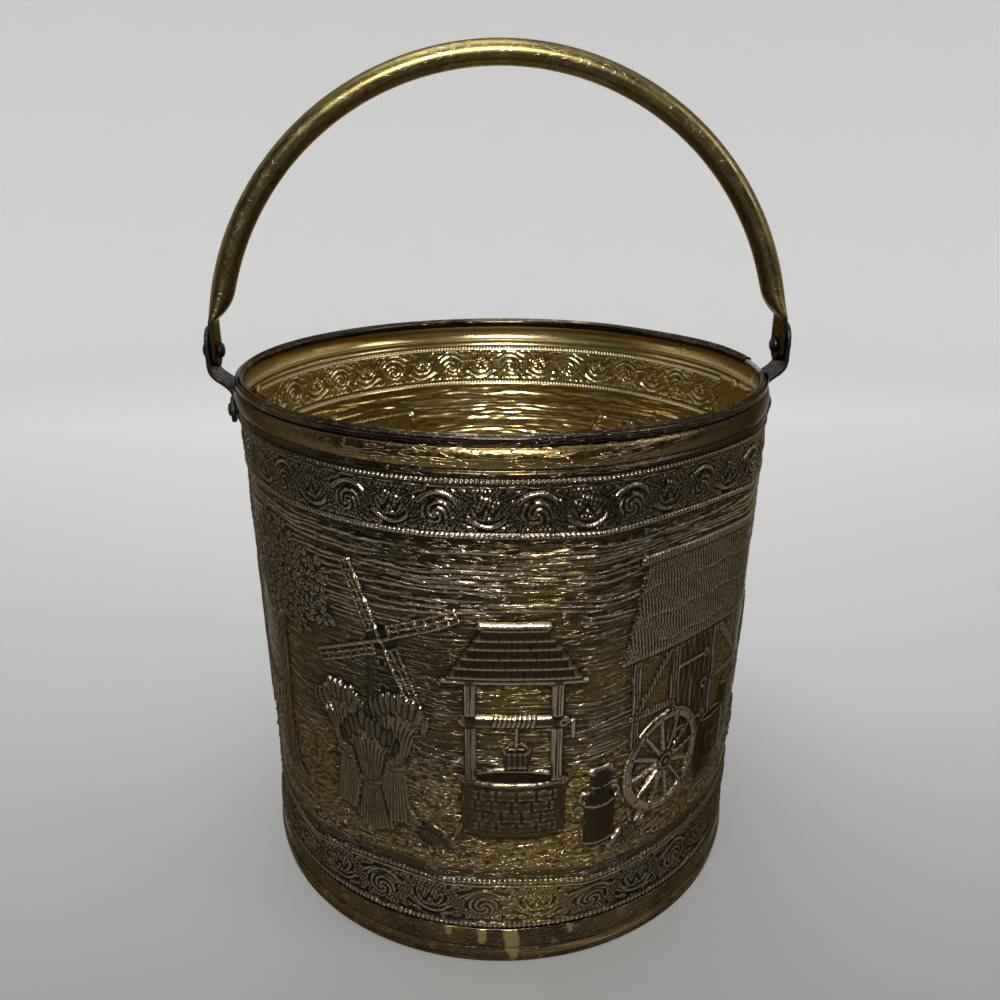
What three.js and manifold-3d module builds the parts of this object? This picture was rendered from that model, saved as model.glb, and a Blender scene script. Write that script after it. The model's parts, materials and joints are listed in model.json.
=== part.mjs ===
// Hearth bucket for coal: an embossed brass wall with a wired rim, a base disc and a foot
// band, two riveted steel ears and a swinging tube handle with flattened ends.
// Millimetres. +Z is up, the handle's hinge line runs along X, and the origin is the
// centre of the foot, on the ground.

import * as THREE from 'three';
import { mergeVertices } from 'three/addons/utils/BufferGeometryUtils.js';
import Module from 'manifold-3d';

const wasm = await Module();
wasm.setup();

// ---------------------------------------------------------------- driving dimensions

// Whole bucket
const rimDiameter = 292;
const bucketHeight = 292.5;
const sheet = 0.6;
const seat = 0.35; // gap left between pieces that rest on each other

// Wall: outer radii without the embossing
const shoulderInset = 1.0; // rim edge to the wall under the mouldings
const wallTaper = 1.7; // how much smaller the wall's radius is at the foot
const lapStart = 0.5; // degrees from +X
const lapWidth = 15; // degrees

// Rolled edge
const wireRadius = 1.6;
const wirePlay = 0.4;
const rimBreakStart = -12; // degrees from +X, where the roll is missing
const rimBreakWidth = 14.5;
const rimBreakLift = 0.18; // kept of the roll's foot above the torus, in the break
const rollFrom = -38; // degrees round the wire, where the wall meets the roll
const rollTo = 215;
const rollSink = 0.12; // how far the torus runs up under the roll

// Mouldings, from the rim down
const torusHeight = 9.8;
const torusBulge = 2.3;
const rimBeadHeight = 4.2;
const rimBeadBulge = 1.3;
const milledBeadHeight = 2.4;
const milledBeadBulge = 2.0;
const upperBorderHeight = 21.8;
const frameBeadHeight = 2.8;
const frameBeadBulge = 0.9;

// Flats: the wall was bent along creases. Each crease has its angle in degrees from +X, how far
// it stands out low on the wall and high on it, and how far the straight line from it to the
// next crease is followed, low and high (0 is round and 1 is flat).
const creases = [
  { angle: 183, low: 0, high: 0, flatLow: 0.6, flatHigh: 0.2 },
  { angle: 207, low: -0.3, high: -1.6, flatLow: 0.4, flatHigh: 0.2 },
  { angle: 224, low: 5, high: -0.4, flatLow: 0.75, flatHigh: 0.13 },
  { angle: 255, low: 2.5, high: 1.5, flatLow: 0.56, flatHigh: 0.38 },
  { angle: 284, low: 5.9, high: 4.4, flatLow: 0.23, flatHigh: 0.68 },
  { angle: 324, low: -0.6, high: 3.2, flatLow: 0.3, flatHigh: 0.3 },
  { angle: 343, low: 0.7, high: 1.2, flatLow: 0, flatHigh: 0 },
  { angle: 349, low: 0, high: 0, flatLow: 0, flatHigh: 0 },
];

// Mouldings, from the foot up
const footBeadCentre = 6.5;
const footBeadHeight = 7;
const footBeadBulge = 0.8;
const lowerBeadHeight = 3.6;
const lowerBorderHeight = 26.6;

// The main embossed forms of the farmyard picture, which is stamped twice round the wall.
// Places are along the wall from the picture's left end, and heights are from the foot.
const embossHeight = 1.2;
const embossRoot = sheet / 2; // how deep in the sheet the forms begin
const embossInside = 36; // how far the prisms reach inside and outside the rim's wall
const embossOutside = 14;
const formOverlap = 1; // where one form stands on another
const crownSides = 8;
const embossedTrees = [
  { foot: 46, bottom: 86, footHalf: 9, topHalf: 6, crown: [50, 206], across: 46, up: 28 },
  { foot: 428, bottom: 90, footHalf: 9, topHalf: 6, crown: [424, 208], across: 27, up: 26 },
];
const embossedSheaves = [
  { foot: [101, 88], height: 66, lean: -0.08 },
  { foot: [123, 87], height: 70, lean: 0.07 },
  { foot: [400, 80], height: 58, lean: 0.05 },
];
const sheafFootHalf = 10.5;
const sheafTieHalf = 5.2;
const sheafHeadHalf = 16;
const sheafTie = 0.45; // share of the height
const millFoot = [122, 136];
const millHeight = 58;
const millFootHalf = 11;
const millTopHalf = 7;
const hubDrop = 5; // below the mill's top
const sailReach = 42;
const sailWidth = 6;
const sailTurn = 22; // degrees
const wellFoot = [186, 86];
const wellHalf = 25;
const wellWallHeight = 34;
const wellEaves = 88; // above the well's foot
const wellRidge = 117;
const wellPostInset = 4.5;
const wellRidgeInset = 10;
const barnLeft = 246;
const barnRight = 338;
const barnGround = 112;
const barnEaves = 176;
const barnRidge = 228;
const barnRidgeInset = 4;
const eavesOverhang = 8;
const barnDoorHalf = 15;
const timberWidth = 5.6;
const wheelCentre = [270, 110];
const wheelRadius = 27;
const wheelRim = 4.4;
const wheelSides = 8;
const spokePairs = 2;
const spokeHalf = 1.6;
const barrelFoot = [333, 86];
const barrelWidth = 31;
const barrelEndWidth = 26;
const barrelHeight = 48;

// Base disc and foot band
const baseSheet = 0.8;
const bandHeight = 22;
const floorHeight = 6;
const footRingWidth = 2.8;

// Ears
const strapThickness = 2.4;
const strapWidth = 20;
const strapStandOff = 12.5; // foot plate to upright, centre to centre
const strapTopRise = 13.4; // above the hinge line
const strapBendTop = 7.6; // below the hinge line
const strapBendHeight = 19;
const strapTopPull = 0.5; // shares of the bend's height that shape its two turns
const strapFootPull = 0.575;
const strapFootShort = 1; // strap end to the foot plate's lower edge
const footPlateHeight = 13.5;
const footPlateLength = 58; // along the wall
const earRivetInset = 8.2; // foot plate's end to rivet, along the wall
const earRivetRadius = 2;

// Hinge
const hingeAboveRim = 8.1;
const pivotRadius = 2.5;
const pivotHeadRadius = 4.5;
const pivotHeadHeight = 2.9;
const earHeadRadius = 3.6;
const earHeadHeight = 1.5;
const holePlay = 0.35; // between a rivet's shank and its hole
const tabPlay = 0.45; // between the handle's tab and the ear

// Handle
const tubeDiameter = 12.7;
const tubeWall = 0.9;
const tabThickness = 2.6;
const tabSlit = 0.4;
const tabWidth = 18.5;
const tabEdgeRounding = 0.4; // section power of the flat: 1 is an ellipse, 0 a rectangle
const handleRise = 149.7; // hinge line to the tube's centre at the top
const handleSwell = 2.85; // how far the bow stands out past its tabs
const tabTop = 16; // above the hinge line, where the flat ends
const taperTop = 41; // above the hinge line, where the tube is full round

// Facets
const wallFacets = 56;
const rivetFacets = 12;
const tubeFacets = 18;
const bowSteps = 24;
const taperSteps = 6;

// ---------------------------------------------------------------- derived dimensions

const degree = Math.PI / 180;
const rollRadius = wireRadius + wirePlay + sheet;
const rollCentreRadius = rimDiameter / 2 - rollRadius;
const rollCentreHeight = bucketHeight - rollRadius;
const wallTopRadius = rimDiameter / 2 - shoulderInset;
const wallFootRadius = wallTopRadius - wallTaper;

const torusTop = bucketHeight - 2 * rollRadius + rollSink;
const torusBottom = torusTop - torusHeight;
const rimBeadBottom = torusBottom - rimBeadHeight;
const milledBeadBottom = rimBeadBottom - milledBeadHeight;
const upperBorderBottom = milledBeadBottom - upperBorderHeight;
const frameBeadBottom = upperBorderBottom - frameBeadHeight;

const footBeadTop = footBeadCentre + footBeadHeight / 2;
const footBeadBottom = footBeadCentre - footBeadHeight / 2;
const lowerBeadBottom = bandHeight + sheet;
const lowerBeadTop = lowerBeadBottom + lowerBeadHeight;
const lowerBorderTop = lowerBeadTop + lowerBorderHeight;
const lowerFrameBeadTop = lowerBorderTop + frameBeadHeight;
const wallBottom = baseSheet + seat;

const hingeHeight = bucketHeight + hingeAboveRim;
const footPlateInner = wallTopRadius + Math.max(torusBulge, milledBeadBulge) + seat;
const footPlateCentre = footPlateInner + strapThickness / 2;
const footPlateMiddle = (rimBeadBottom + milledBeadBottom) / 2;
const uprightCentre = footPlateCentre + strapStandOff;
const uprightInner = uprightCentre - strapThickness / 2;
const uprightOuter = uprightCentre + strapThickness / 2;
const tabOuter = uprightInner - tabPlay;
const tabInner = tabOuter - tabThickness;
const earRivetSpacing = footPlateLength - 2 * earRivetInset;
const earRivetAngle = earRivetSpacing / 2 / footPlateInner;

const tubeRadius = tubeDiameter / 2;
const bowOuterRadius = tabOuter + handleSwell;
const bowRadius = bowOuterRadius - tubeRadius;
const bowCentreHeight = hingeHeight + handleRise - bowRadius;

// ---------------------------------------------------------------- materials

const brassWall = new THREE.MeshStandardMaterial({ color: 0x6e5a22, roughness: 0.42, metalness: 1 });
const brassFoot = new THREE.MeshStandardMaterial({ color: 0x5a4a26, roughness: 0.4, metalness: 1 });
const brassTube = new THREE.MeshStandardMaterial({ color: 0x8a742e, roughness: 0.34, metalness: 1 });
const darkSteel = new THREE.MeshStandardMaterial({ color: 0x2c2723, roughness: 0.5, metalness: 1 });
const greySteel = new THREE.MeshStandardMaterial({ color: 0x8b8780, roughness: 0.45, metalness: 1 });

// ---------------------------------------------------------------- solids and booleans

function toSolid(geometry) {
  const bare = geometry.index ? geometry.clone() : geometry;
  bare.deleteAttribute('normal');
  bare.deleteAttribute('uv');
  const merged = mergeVertices(bare, 1e-4);
  const mesh = new wasm.Mesh({
    numProp: 3,
    vertProperties: new Float32Array(merged.attributes.position.array),
    triVerts: new Uint32Array(merged.index.array),
  });
  return new wasm.Manifold(mesh);
}

function toGeometry(solid) {
  const mesh = solid.getMesh();
  const geometry = new THREE.BufferGeometry();
  geometry.setAttribute('position', new THREE.BufferAttribute(new Float32Array(mesh.vertProperties), 3));
  geometry.setIndex(new THREE.BufferAttribute(new Uint32Array(mesh.triVerts), 1));
  geometry.computeVertexNormals();
  return geometry;
}

function gridGeometry(rings, closed, turned = () => false) {
  // Skins a list of equal rings of points; closed joins the last ring to the first.
  // The sides that are turned are split along their other diagonal.
  const perRing = rings[0].length;
  const positions = rings.flat().flatMap((point) => [point.x, point.y, point.z]);
  const indices = [];
  const spans = closed ? rings.length : rings.length - 1;
  for (let ring = 0; ring < spans; ring += 1) {
    const next = (ring + 1) % rings.length;
    for (let side = 0; side < perRing; side += 1) {
      const beside = (side + 1) % perRing;
      const a = ring * perRing + side;
      const b = ring * perRing + beside;
      const c = next * perRing + beside;
      const d = next * perRing + side;
      if (turned(side)) indices.push(a, d, c, a, c, b);
      else indices.push(a, d, b, b, d, c);
    }
  }
  const geometry = new THREE.BufferGeometry();
  geometry.setAttribute('position', new THREE.Float32BufferAttribute(positions, 3));
  geometry.setIndex(indices);
  return geometry;
}

function sweepRound(angles, profileAt) {
  // Turns a closed (radius, height) profile about Z, through the angles given in degrees.
  const rings = angles.map((angle) => {
    const cosine = Math.cos(angle * degree);
    const sine = Math.sin(angle * degree);
    return profileAt(angle).map((p) => new THREE.Vector3(p.x * cosine, p.x * sine, p.y));
  });
  // The faces that run down are turned, so that the two faces of a bent sheet match.
  const [first] = rings;
  const runsDown = (side) => first[(side + 1) % first.length].z < first[side].z;
  return gridGeometry(rings, true, runsDown);
}

function evenAngles(count) {
  return Array.from({ length: count }, (_, index) => (index * 360) / count);
}

function discSolid(radius, length, facets) {
  // A cylinder along X, centred on the origin, its facets outside the radius.
  const outside = radius / Math.cos(Math.PI / facets);
  const geometry = new THREE.CylinderGeometry(outside, outside, length, facets);
  geometry.rotateZ(-Math.PI / 2);
  return toSolid(geometry);
}

function plateOutline(width, height) {
  // A plate with round ends, in the plane of its face.
  const half = Math.min(width, height) / 2;
  const shape = new THREE.Shape();
  shape.moveTo(-width / 2 + half, -height / 2);
  shape.lineTo(width / 2 - half, -height / 2);
  shape.absarc(width / 2 - half, 0, half, -Math.PI / 2, Math.PI / 2, false);
  shape.lineTo(-width / 2 + half, height / 2);
  shape.absarc(-width / 2 + half, 0, half, Math.PI / 2, Math.PI * 1.5, false);
  return shape;
}

// ---------------------------------------------------------------- wall

function bump(bottom, top, radius, bulge, steps) {
  // Points of a half-round moulding from bottom to top, ends included.
  const points = [];
  for (let step = 0; step <= steps; step += 1) {
    const turn = (step / steps) * Math.PI;
    const height = (bottom + top) / 2 - (Math.cos(turn) * (top - bottom)) / 2;
    points.push(new THREE.Vector2(radius + bulge * Math.sin(turn), height));
  }
  return points;
}

function wallOutline() {
  // The outer face of the wall from its foot to the start of the roll.
  return [
    new THREE.Vector2(wallFootRadius, wallBottom),
    ...bump(footBeadBottom, footBeadTop, wallFootRadius, footBeadBulge, 2),
    ...bump(lowerBeadBottom, lowerBeadTop, wallFootRadius, frameBeadBulge, 2),
    ...bump(lowerBorderTop, lowerFrameBeadTop, wallFootRadius, frameBeadBulge, 2),
    ...bump(frameBeadBottom, upperBorderBottom, wallTopRadius, frameBeadBulge, 2),
    ...bump(milledBeadBottom, rimBeadBottom, wallTopRadius, milledBeadBulge, 3),
    ...bump(rimBeadBottom, torusBottom, wallTopRadius, rimBeadBulge, 2).slice(1),
    ...bump(torusBottom, torusTop, wallTopRadius, torusBulge, 5).slice(1),
  ];
}

function offsetInward(outline, thickness) {
  // The inner face: each point moved square to the outline by the sheet's thickness.
  return outline.map((point, index) => {
    const before = outline[Math.max(index - 1, 0)];
    const after = outline[Math.min(index + 1, outline.length - 1)];
    const along = new THREE.Vector2().subVectors(after, before).normalize();
    return new THREE.Vector2(point.x - along.y * thickness, point.y + along.x * thickness);
  });
}

function rollArc(radius, steps) {
  // The rolled edge, from where the wall meets it, over the wire and down its inner side.
  const points = [];
  for (let step = 0; step <= steps; step += 1) {
    const turn = (rollFrom + ((rollTo - rollFrom) * step) / steps) * degree;
    const across = radius * Math.cos(turn);
    const up = radius * Math.sin(turn);
    points.push(new THREE.Vector2(rollCentreRadius + across, rollCentreHeight + up));
  }
  return points;
}

const lapEnd = lapStart + lapWidth;
const lapEdge = 0.25;

function flatRise(angle, height) {
  // How far the bent wall stands out from the round one: full between the two frame beads,
  // and fading to nothing at the foot band and at the roll.
  const next = creases.findIndex((crease) => crease.angle > angle);
  if (next < 1) return 0;
  const from = creases[next - 1];
  const to = creases[next];
  const up = THREE.MathUtils.inverseLerp(lowerFrameBeadTop, frameBeadBottom, height);
  const level = THREE.MathUtils.clamp(up, 0, 1);
  const mixed = (low, high) => THREE.MathUtils.lerp(low, high, level);
  const along = (angle - from.angle) / (to.angle - from.angle);
  const line = THREE.MathUtils.lerp(mixed(from.low, from.high), mixed(to.low, to.high), along);
  const half = (to.angle - from.angle) / 2;
  const offMiddle = angle - from.angle - half;
  const sag = wallTopRadius * (1 - Math.cos(half * degree) / Math.cos(offMiddle * degree));
  const footFade = (height - lowerBeadBottom) / (lowerBorderTop - lowerBeadBottom);
  const rimFade = (torusTop - height) / (torusTop - upperBorderBottom);
  const fade = THREE.MathUtils.clamp(Math.min(footFade, rimFade), 0, 1);
  return fade * (line - mixed(from.flatLow, from.flatHigh) * sag);
}

function embossOutlines() {
  // The forms of one picture as closed outlines of [along, height] corners.
  const round = (across, height, radiusAcross, radiusUp, sides) =>
    evenAngles(sides).map((turn) => [
      across + radiusAcross * Math.cos(turn * degree),
      height + radiusUp * Math.sin(turn * degree),
    ]);
  const upright = (middle, bottom, top, halfBottom, halfTop) => [
    [middle - halfBottom, bottom],
    [middle + halfBottom, bottom],
    [middle + halfTop, top],
    [middle - halfTop, top],
  ];
  const bar = (from, to, width) => {
    const length = Math.hypot(to[0] - from[0], to[1] - from[1]);
    const across = (-(to[1] - from[1]) / length) * width;
    const up = ((to[0] - from[0]) / length) * width;
    return [from, to, [to[0] + across, to[1] + up], [from[0] + across, from[1] + up]];
  };

  const trees = embossedTrees.flatMap(({ foot, bottom, footHalf, topHalf, crown, across, up }) => [
    upright(foot, bottom, crown[1] - up / 2, footHalf, topHalf),
    round(crown[0], crown[1], across, up, crownSides),
  ]);

  const sheaves = embossedSheaves.map(({ foot, height, lean }) => {
    const tie = [foot[0] + lean * sheafTie * height, foot[1] + sheafTie * height];
    const head = [foot[0] + lean * height, foot[1] + height];
    return [
      [foot[0] - sheafFootHalf, foot[1]],
      [foot[0] + sheafFootHalf, foot[1]],
      [tie[0] + sheafTieHalf, tie[1]],
      [head[0] + sheafHeadHalf, head[1]],
      [head[0] - sheafHeadHalf, head[1]],
      [tie[0] - sheafTieHalf, tie[1]],
    ];
  });

  const hub = [millFoot[0], millFoot[1] + millHeight - hubDrop];
  const sails = [0, 90, 180, 270].map((quarter) => {
    const turn = (sailTurn + quarter) * degree;
    const out = (reach) => [hub[0] + reach * Math.cos(turn), hub[1] + reach * Math.sin(turn)];
    return bar(out(0), out(sailReach), sailWidth);
  });
  const millTop = millFoot[1] + millHeight;
  const mill = [upright(millFoot[0], millFoot[1], millTop, millFootHalf, millTopHalf), ...sails];

  const post = (middle, bottom, top) =>
    upright(middle, bottom - formOverlap, top + formOverlap, timberWidth / 2, timberWidth / 2);

  const [wellMiddle, wellBottom] = wellFoot;
  const wellTop = wellBottom + wellWallHeight;
  const eaves = wellBottom + wellEaves;
  const ridge = wellBottom + wellRidge;
  const wellPost = wellHalf - wellPostInset;
  const well = [
    upright(wellMiddle, wellBottom, wellTop, wellHalf, wellHalf),
    post(wellMiddle - wellPost, wellTop, eaves),
    post(wellMiddle + wellPost, wellTop, eaves),
    upright(wellMiddle, eaves, ridge, wellHalf + eavesOverhang, wellHalf - wellRidgeInset),
  ];

  const barnMiddle = (barnLeft + barnRight) / 2;
  const barnHalf = (barnRight - barnLeft) / 2;
  const cornerPost = barnHalf - timberWidth / 2;
  const barn = [
    upright(barnMiddle, barnEaves, barnRidge, barnHalf + eavesOverhang, barnHalf - barnRidgeInset),
    post(barnMiddle - cornerPost, barnGround, barnEaves),
    post(barnMiddle + cornerPost, barnGround, barnEaves),
    upright(barnMiddle, barnGround, barnEaves + formOverlap, barnDoorHalf, barnDoorHalf),
  ];

  const [barrelAt, barrelBottom] = barrelFoot;
  const bulge = barrelBottom + barrelHeight / 2;
  const barrel = [
    upright(barrelAt, barrelBottom, bulge, barrelEndWidth / 2, barrelWidth / 2),
    upright(barrelAt, bulge, barrelBottom + barrelHeight, barrelWidth / 2, barrelEndWidth / 2),
  ];

  return [...trees, ...sheaves, ...mill, ...well, ...barn, ...barrel];
}

function wheelOutlines() {
  // The cart wheel's disc, the hole in it, and its spokes.
  const [across, up] = wheelCentre;
  const circle = (radius, sides) =>
    evenAngles(sides).map((turn) => [
      across + radius * Math.cos(turn * degree),
      up + radius * Math.sin(turn * degree),
    ]);
  const spokes = Array.from({ length: spokePairs }, (_, index) => {
    const turn = (index * Math.PI) / spokePairs;
    const along = [wheelRadius * Math.cos(turn), wheelRadius * Math.sin(turn)];
    const side = [-spokeHalf * Math.sin(turn), spokeHalf * Math.cos(turn)];
    return [
      [across - along[0] - side[0], up - along[1] - side[1]],
      [across + along[0] - side[0], up + along[1] - side[1]],
      [across + along[0] + side[0], up + along[1] + side[1]],
      [across - along[0] + side[0], up - along[1] + side[1]],
    ];
  });
  return {
    disc: circle(wheelRadius + wheelRim / 2, wheelSides),
    hole: circle(wheelRadius - wheelRim / 2, wheelSides),
    spokes,
  };
}

function embossPrism(corners, start) {
  // An outline of the picture as a solid that runs out through the wall, square to its middle.
  const angleOf = (along) => start + along / wallTopRadius / degree;
  const places = corners.map((corner) => angleOf(corner[0]));
  const middle = (Math.min(...places) + Math.max(...places)) / 2;
  const flat = corners.map(
    (corner) =>
      new THREE.Vector2(wallTopRadius * Math.sin((angleOf(corner[0]) - middle) * degree), corner[1]),
  );
  const depth = embossInside + embossOutside;
  const geometry = new THREE.ExtrudeGeometry(new THREE.Shape(flat), { depth, bevelEnabled: false });
  geometry.rotateX(Math.PI / 2);
  geometry.rotateZ(Math.PI / 2);
  geometry.translate(wallTopRadius - embossInside, 0, 0);
  geometry.rotateZ(middle * degree);
  return toSolid(geometry);
}

function embossedPicture(start) {
  const wheel = wheelOutlines();
  const prism = (corners) => embossPrism(corners, start);
  const open = prism(wheel.disc).subtract(prism(wheel.hole));
  return [...embossOutlines(), ...wheel.spokes].reduce((all, corners) => all.add(prism(corners)), open);
}

function embossSkin() {
  // The layer on the wall that the forms are cut from, with the wall's own levels.
  const levels = [
    new THREE.Vector2(wallFootRadius, lowerFrameBeadTop),
    new THREE.Vector2(wallTopRadius, frameBeadBottom),
  ];
  const face = (angle, out) =>
    levels.map(({ x, y }) => new THREE.Vector2(x + flatRise(angle, y) + out, y));
  return toSolid(
    sweepRound(wallAngles(), (angle) => [
      ...face(angle, embossHeight),
      ...face(angle, -embossRoot).reverse(),
    ]),
  );
}

function wallAngles() {
  const bent = creases.map((crease) => crease.angle);
  const extra = [lapStart, lapStart + lapEdge, lapEnd - lapEdge, lapEnd, ...bent];
  const spacing = 360 / wallFacets;
  const clear = (angle) => extra.every((edge) => Math.abs(edge - angle) > spacing / 5);
  const kept = evenAngles(wallFacets).filter(clear);
  return [...kept, ...extra].sort((a, b) => a - b);
}

function wallProfile(angle) {
  const bend = (point) => new THREE.Vector2(point.x + flatRise(angle, point.y), point.y);
  const round = wallOutline();
  const lapped = angle > lapStart && angle < lapEnd;
  const thickness = lapped ? 2 * sheet : sheet;
  const outside = round.map(bend);
  const inside = offsetInward(round, thickness).map(bend);
  const rollSteps = 6;
  const rollOutside = rollArc(rollRadius, rollSteps);
  const rollInside = rollArc(rollRadius - sheet, rollSteps);
  return [...outside, ...rollOutside, ...rollInside.reverse(), ...inside.reverse()];
}

function wallSolid() {
  const whole = toSolid(sweepRound(wallAngles(), wallProfile));
  const wedge = new THREE.Shape();
  const reach = rimDiameter;
  const breakEnd = rimBreakStart + rimBreakWidth;
  wedge.moveTo(0, 0);
  wedge.lineTo(reach * Math.cos(rimBreakStart * degree), reach * Math.sin(rimBreakStart * degree));
  wedge.lineTo(reach * Math.cos(breakEnd * degree), reach * Math.sin(breakEnd * degree));
  const slice = new THREE.ExtrudeGeometry(wedge, { depth: 4 * rollRadius, bevelEnabled: false });
  slice.translate(0, 0, torusTop + rimBreakLift);
  const forms = embossedPicture(lapEnd).add(embossedPicture(lapEnd + 180));
  let wall = whole.subtract(toSolid(slice)).add(forms.intersect(embossSkin()));
  for (const angle of earRivetAngles()) {
    const drill = discSolid(earRivetRadius + holePlay, 6 * strapThickness, rivetFacets);
    wall = wall.subtract(
      drill.rotate([0, 0, angle / degree]).translate([
        wallTopRadius * Math.cos(angle),
        wallTopRadius * Math.sin(angle),
        footPlateMiddle,
      ]),
    );
  }
  return wall;
}

function earRivetAngles() {
  return [earRivetAngle, -earRivetAngle, Math.PI - earRivetAngle, Math.PI + earRivetAngle];
}

// ---------------------------------------------------------------- rim wire and base

function wireGeometry() {
  const sides = 6;
  const section = Array.from({ length: sides }, (_, side) => {
    const turn = (side / sides) * 2 * Math.PI;
    return new THREE.Vector2(
      rollCentreRadius + wireRadius * Math.cos(turn),
      rollCentreHeight + wireRadius * Math.sin(turn),
    );
  });
  return sweepRound(wallAngles(), () => section);
}

function latheUpright(outline, facets) {
  const geometry = new THREE.LatheGeometry(outline, facets);
  geometry.rotateX(Math.PI / 2);
  return geometry;
}

function discGeometry() {
  // The bottom: a flat disc whose edge is turned down inside the wall.
  const skirtOuter = wallFootRadius - 2 * sheet - seat;
  const skirtInner = skirtOuter - baseSheet;
  const floorTop = floorHeight + baseSheet;
  const outline = [
    new THREE.Vector2(0, floorHeight),
    new THREE.Vector2(skirtInner, floorHeight),
    new THREE.Vector2(skirtInner, wallBottom),
    new THREE.Vector2(skirtOuter, wallBottom),
    new THREE.Vector2(skirtOuter, floorTop),
    new THREE.Vector2(0, floorTop),
  ];
  return latheUpright(outline, wallFacets);
}

function bandGeometry() {
  // The foot: a beaded band outside the wall, its lower edge turned in to stand on.
  const inner = wallFootRadius + seat;
  const outer = inner + baseSheet;
  const ringInner = inner - footRingWidth;
  const beadSteps = 2;
  const outline = [
    new THREE.Vector2(ringInner, 0),
    new THREE.Vector2(inner, 0),
    ...bump(footBeadBottom, footBeadTop, outer, footBeadBulge, beadSteps),
    new THREE.Vector2(outer, bandHeight),
    new THREE.Vector2(inner, bandHeight),
    ...bump(footBeadBottom, footBeadTop, inner, footBeadBulge, beadSteps).reverse(),
    new THREE.Vector2(inner, baseSheet),
    new THREE.Vector2(ringInner, baseSheet),
    new THREE.Vector2(ringInner, 0),
  ];
  return latheUpright(outline, wallFacets);
}

// ---------------------------------------------------------------- ears and rivets

function strapCentreLine() {
  const bendTop = hingeHeight - strapBendTop;
  const bendBottom = bendTop - strapBendHeight;
  const bend = new THREE.CubicBezierCurve(
    new THREE.Vector2(uprightCentre, bendTop),
    new THREE.Vector2(uprightCentre, bendTop - strapTopPull * strapBendHeight),
    new THREE.Vector2(footPlateCentre, bendBottom + strapFootPull * strapBendHeight),
    new THREE.Vector2(footPlateCentre, bendBottom),
  );
  return [
    new THREE.Vector2(uprightCentre, hingeHeight + strapTopRise),
    ...bend.getPoints(10),
    new THREE.Vector2(footPlateCentre, footPlateMiddle - footPlateHeight / 2 + strapFootShort),
  ];
}

function strapSolid() {
  const line = strapCentreLine();
  const side = (sign) =>
    line.map((point, index) => {
      const before = line[Math.max(index - 1, 0)];
      const after = line[Math.min(index + 1, line.length - 1)];
      const along = new THREE.Vector2().subVectors(after, before).normalize();
      const shift = (sign * strapThickness) / 2;
      return new THREE.Vector2(point.x - along.y * shift, point.y + along.x * shift);
    });
  const outline = new THREE.Shape([...side(1), ...side(-1).reverse()]);
  const geometry = new THREE.ExtrudeGeometry(outline, { depth: strapWidth, bevelEnabled: false });
  geometry.rotateX(Math.PI / 2);
  geometry.translate(0, strapWidth / 2, 0);
  return toSolid(geometry);
}

function earFaceSolid() {
  // The ear's outline seen along X: a round-topped upright.
  const top = hingeHeight + strapTopRise;
  const bottom = footPlateMiddle - footPlateHeight / 2;
  const half = strapWidth / 2;
  const face = new THREE.Shape();
  face.moveTo(-half, bottom);
  face.lineTo(half, bottom);
  face.lineTo(half, top - half);
  face.absarc(0, top - half, half, 0, Math.PI, false);
  const depth = 2 * strapStandOff + 4 * strapThickness;
  const geometry = new THREE.ExtrudeGeometry(face, { depth, bevelEnabled: false, curveSegments: 12 });
  geometry.rotateX(Math.PI / 2);
  geometry.rotateZ(Math.PI / 2);
  geometry.translate(uprightCentre - depth / 2, 0, 0);
  return toSolid(geometry);
}

function footPlateSolid() {
  // A curved plate that follows the wall, with round ends.
  const halfAngle = footPlateLength / 2 / footPlateInner / degree;
  const steps = 12;
  const bottom = footPlateMiddle - footPlateHeight / 2;
  const section = [
    new THREE.Vector2(footPlateInner, bottom),
    new THREE.Vector2(footPlateInner + strapThickness, bottom),
    new THREE.Vector2(footPlateInner + strapThickness, bottom + footPlateHeight),
    new THREE.Vector2(footPlateInner, bottom + footPlateHeight),
  ];
  const rings = [];
  for (let step = 0; step <= steps; step += 1) {
    const angle = (-halfAngle + (2 * halfAngle * step) / steps) * degree;
    rings.push(section.map((p) => new THREE.Vector3(p.x * Math.cos(angle), p.x * Math.sin(angle), p.y)));
  }
  const skin = gridGeometry(rings, false);
  const last = steps * section.length;
  const ends = [0, 1, 2, 0, 2, 3, last, last + 2, last + 1, last, last + 3, last + 2];
  skin.setIndex([...skin.index.array, ...ends]);
  const outline = new THREE.ExtrudeGeometry(plateOutline(footPlateLength, footPlateHeight), {
    depth: 2 * strapStandOff,
    bevelEnabled: false,
    curveSegments: 6,
  });
  outline.rotateX(Math.PI / 2);
  outline.rotateZ(Math.PI / 2);
  outline.translate(footPlateInner - strapStandOff, 0, footPlateMiddle);
  return toSolid(skin).intersect(toSolid(outline));
}

function earSolid() {
  let ear = strapSolid().intersect(earFaceSolid()).add(footPlateSolid());
  const pivotHole = discSolid(pivotRadius + holePlay, 4 * strapThickness, rivetFacets);
  ear = ear.subtract(pivotHole.translate([uprightCentre, 0, hingeHeight]));
  for (const side of [-1, 1]) {
    const angle = side * earRivetAngle;
    const drill = discSolid(earRivetRadius + holePlay, 4 * strapThickness, rivetFacets);
    ear = ear.subtract(
      drill.rotate([0, 0, angle / degree]).translate([
        footPlateCentre * Math.cos(angle),
        footPlateCentre * Math.sin(angle),
        footPlateMiddle,
      ]),
    );
  }
  return ear;
}

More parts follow.
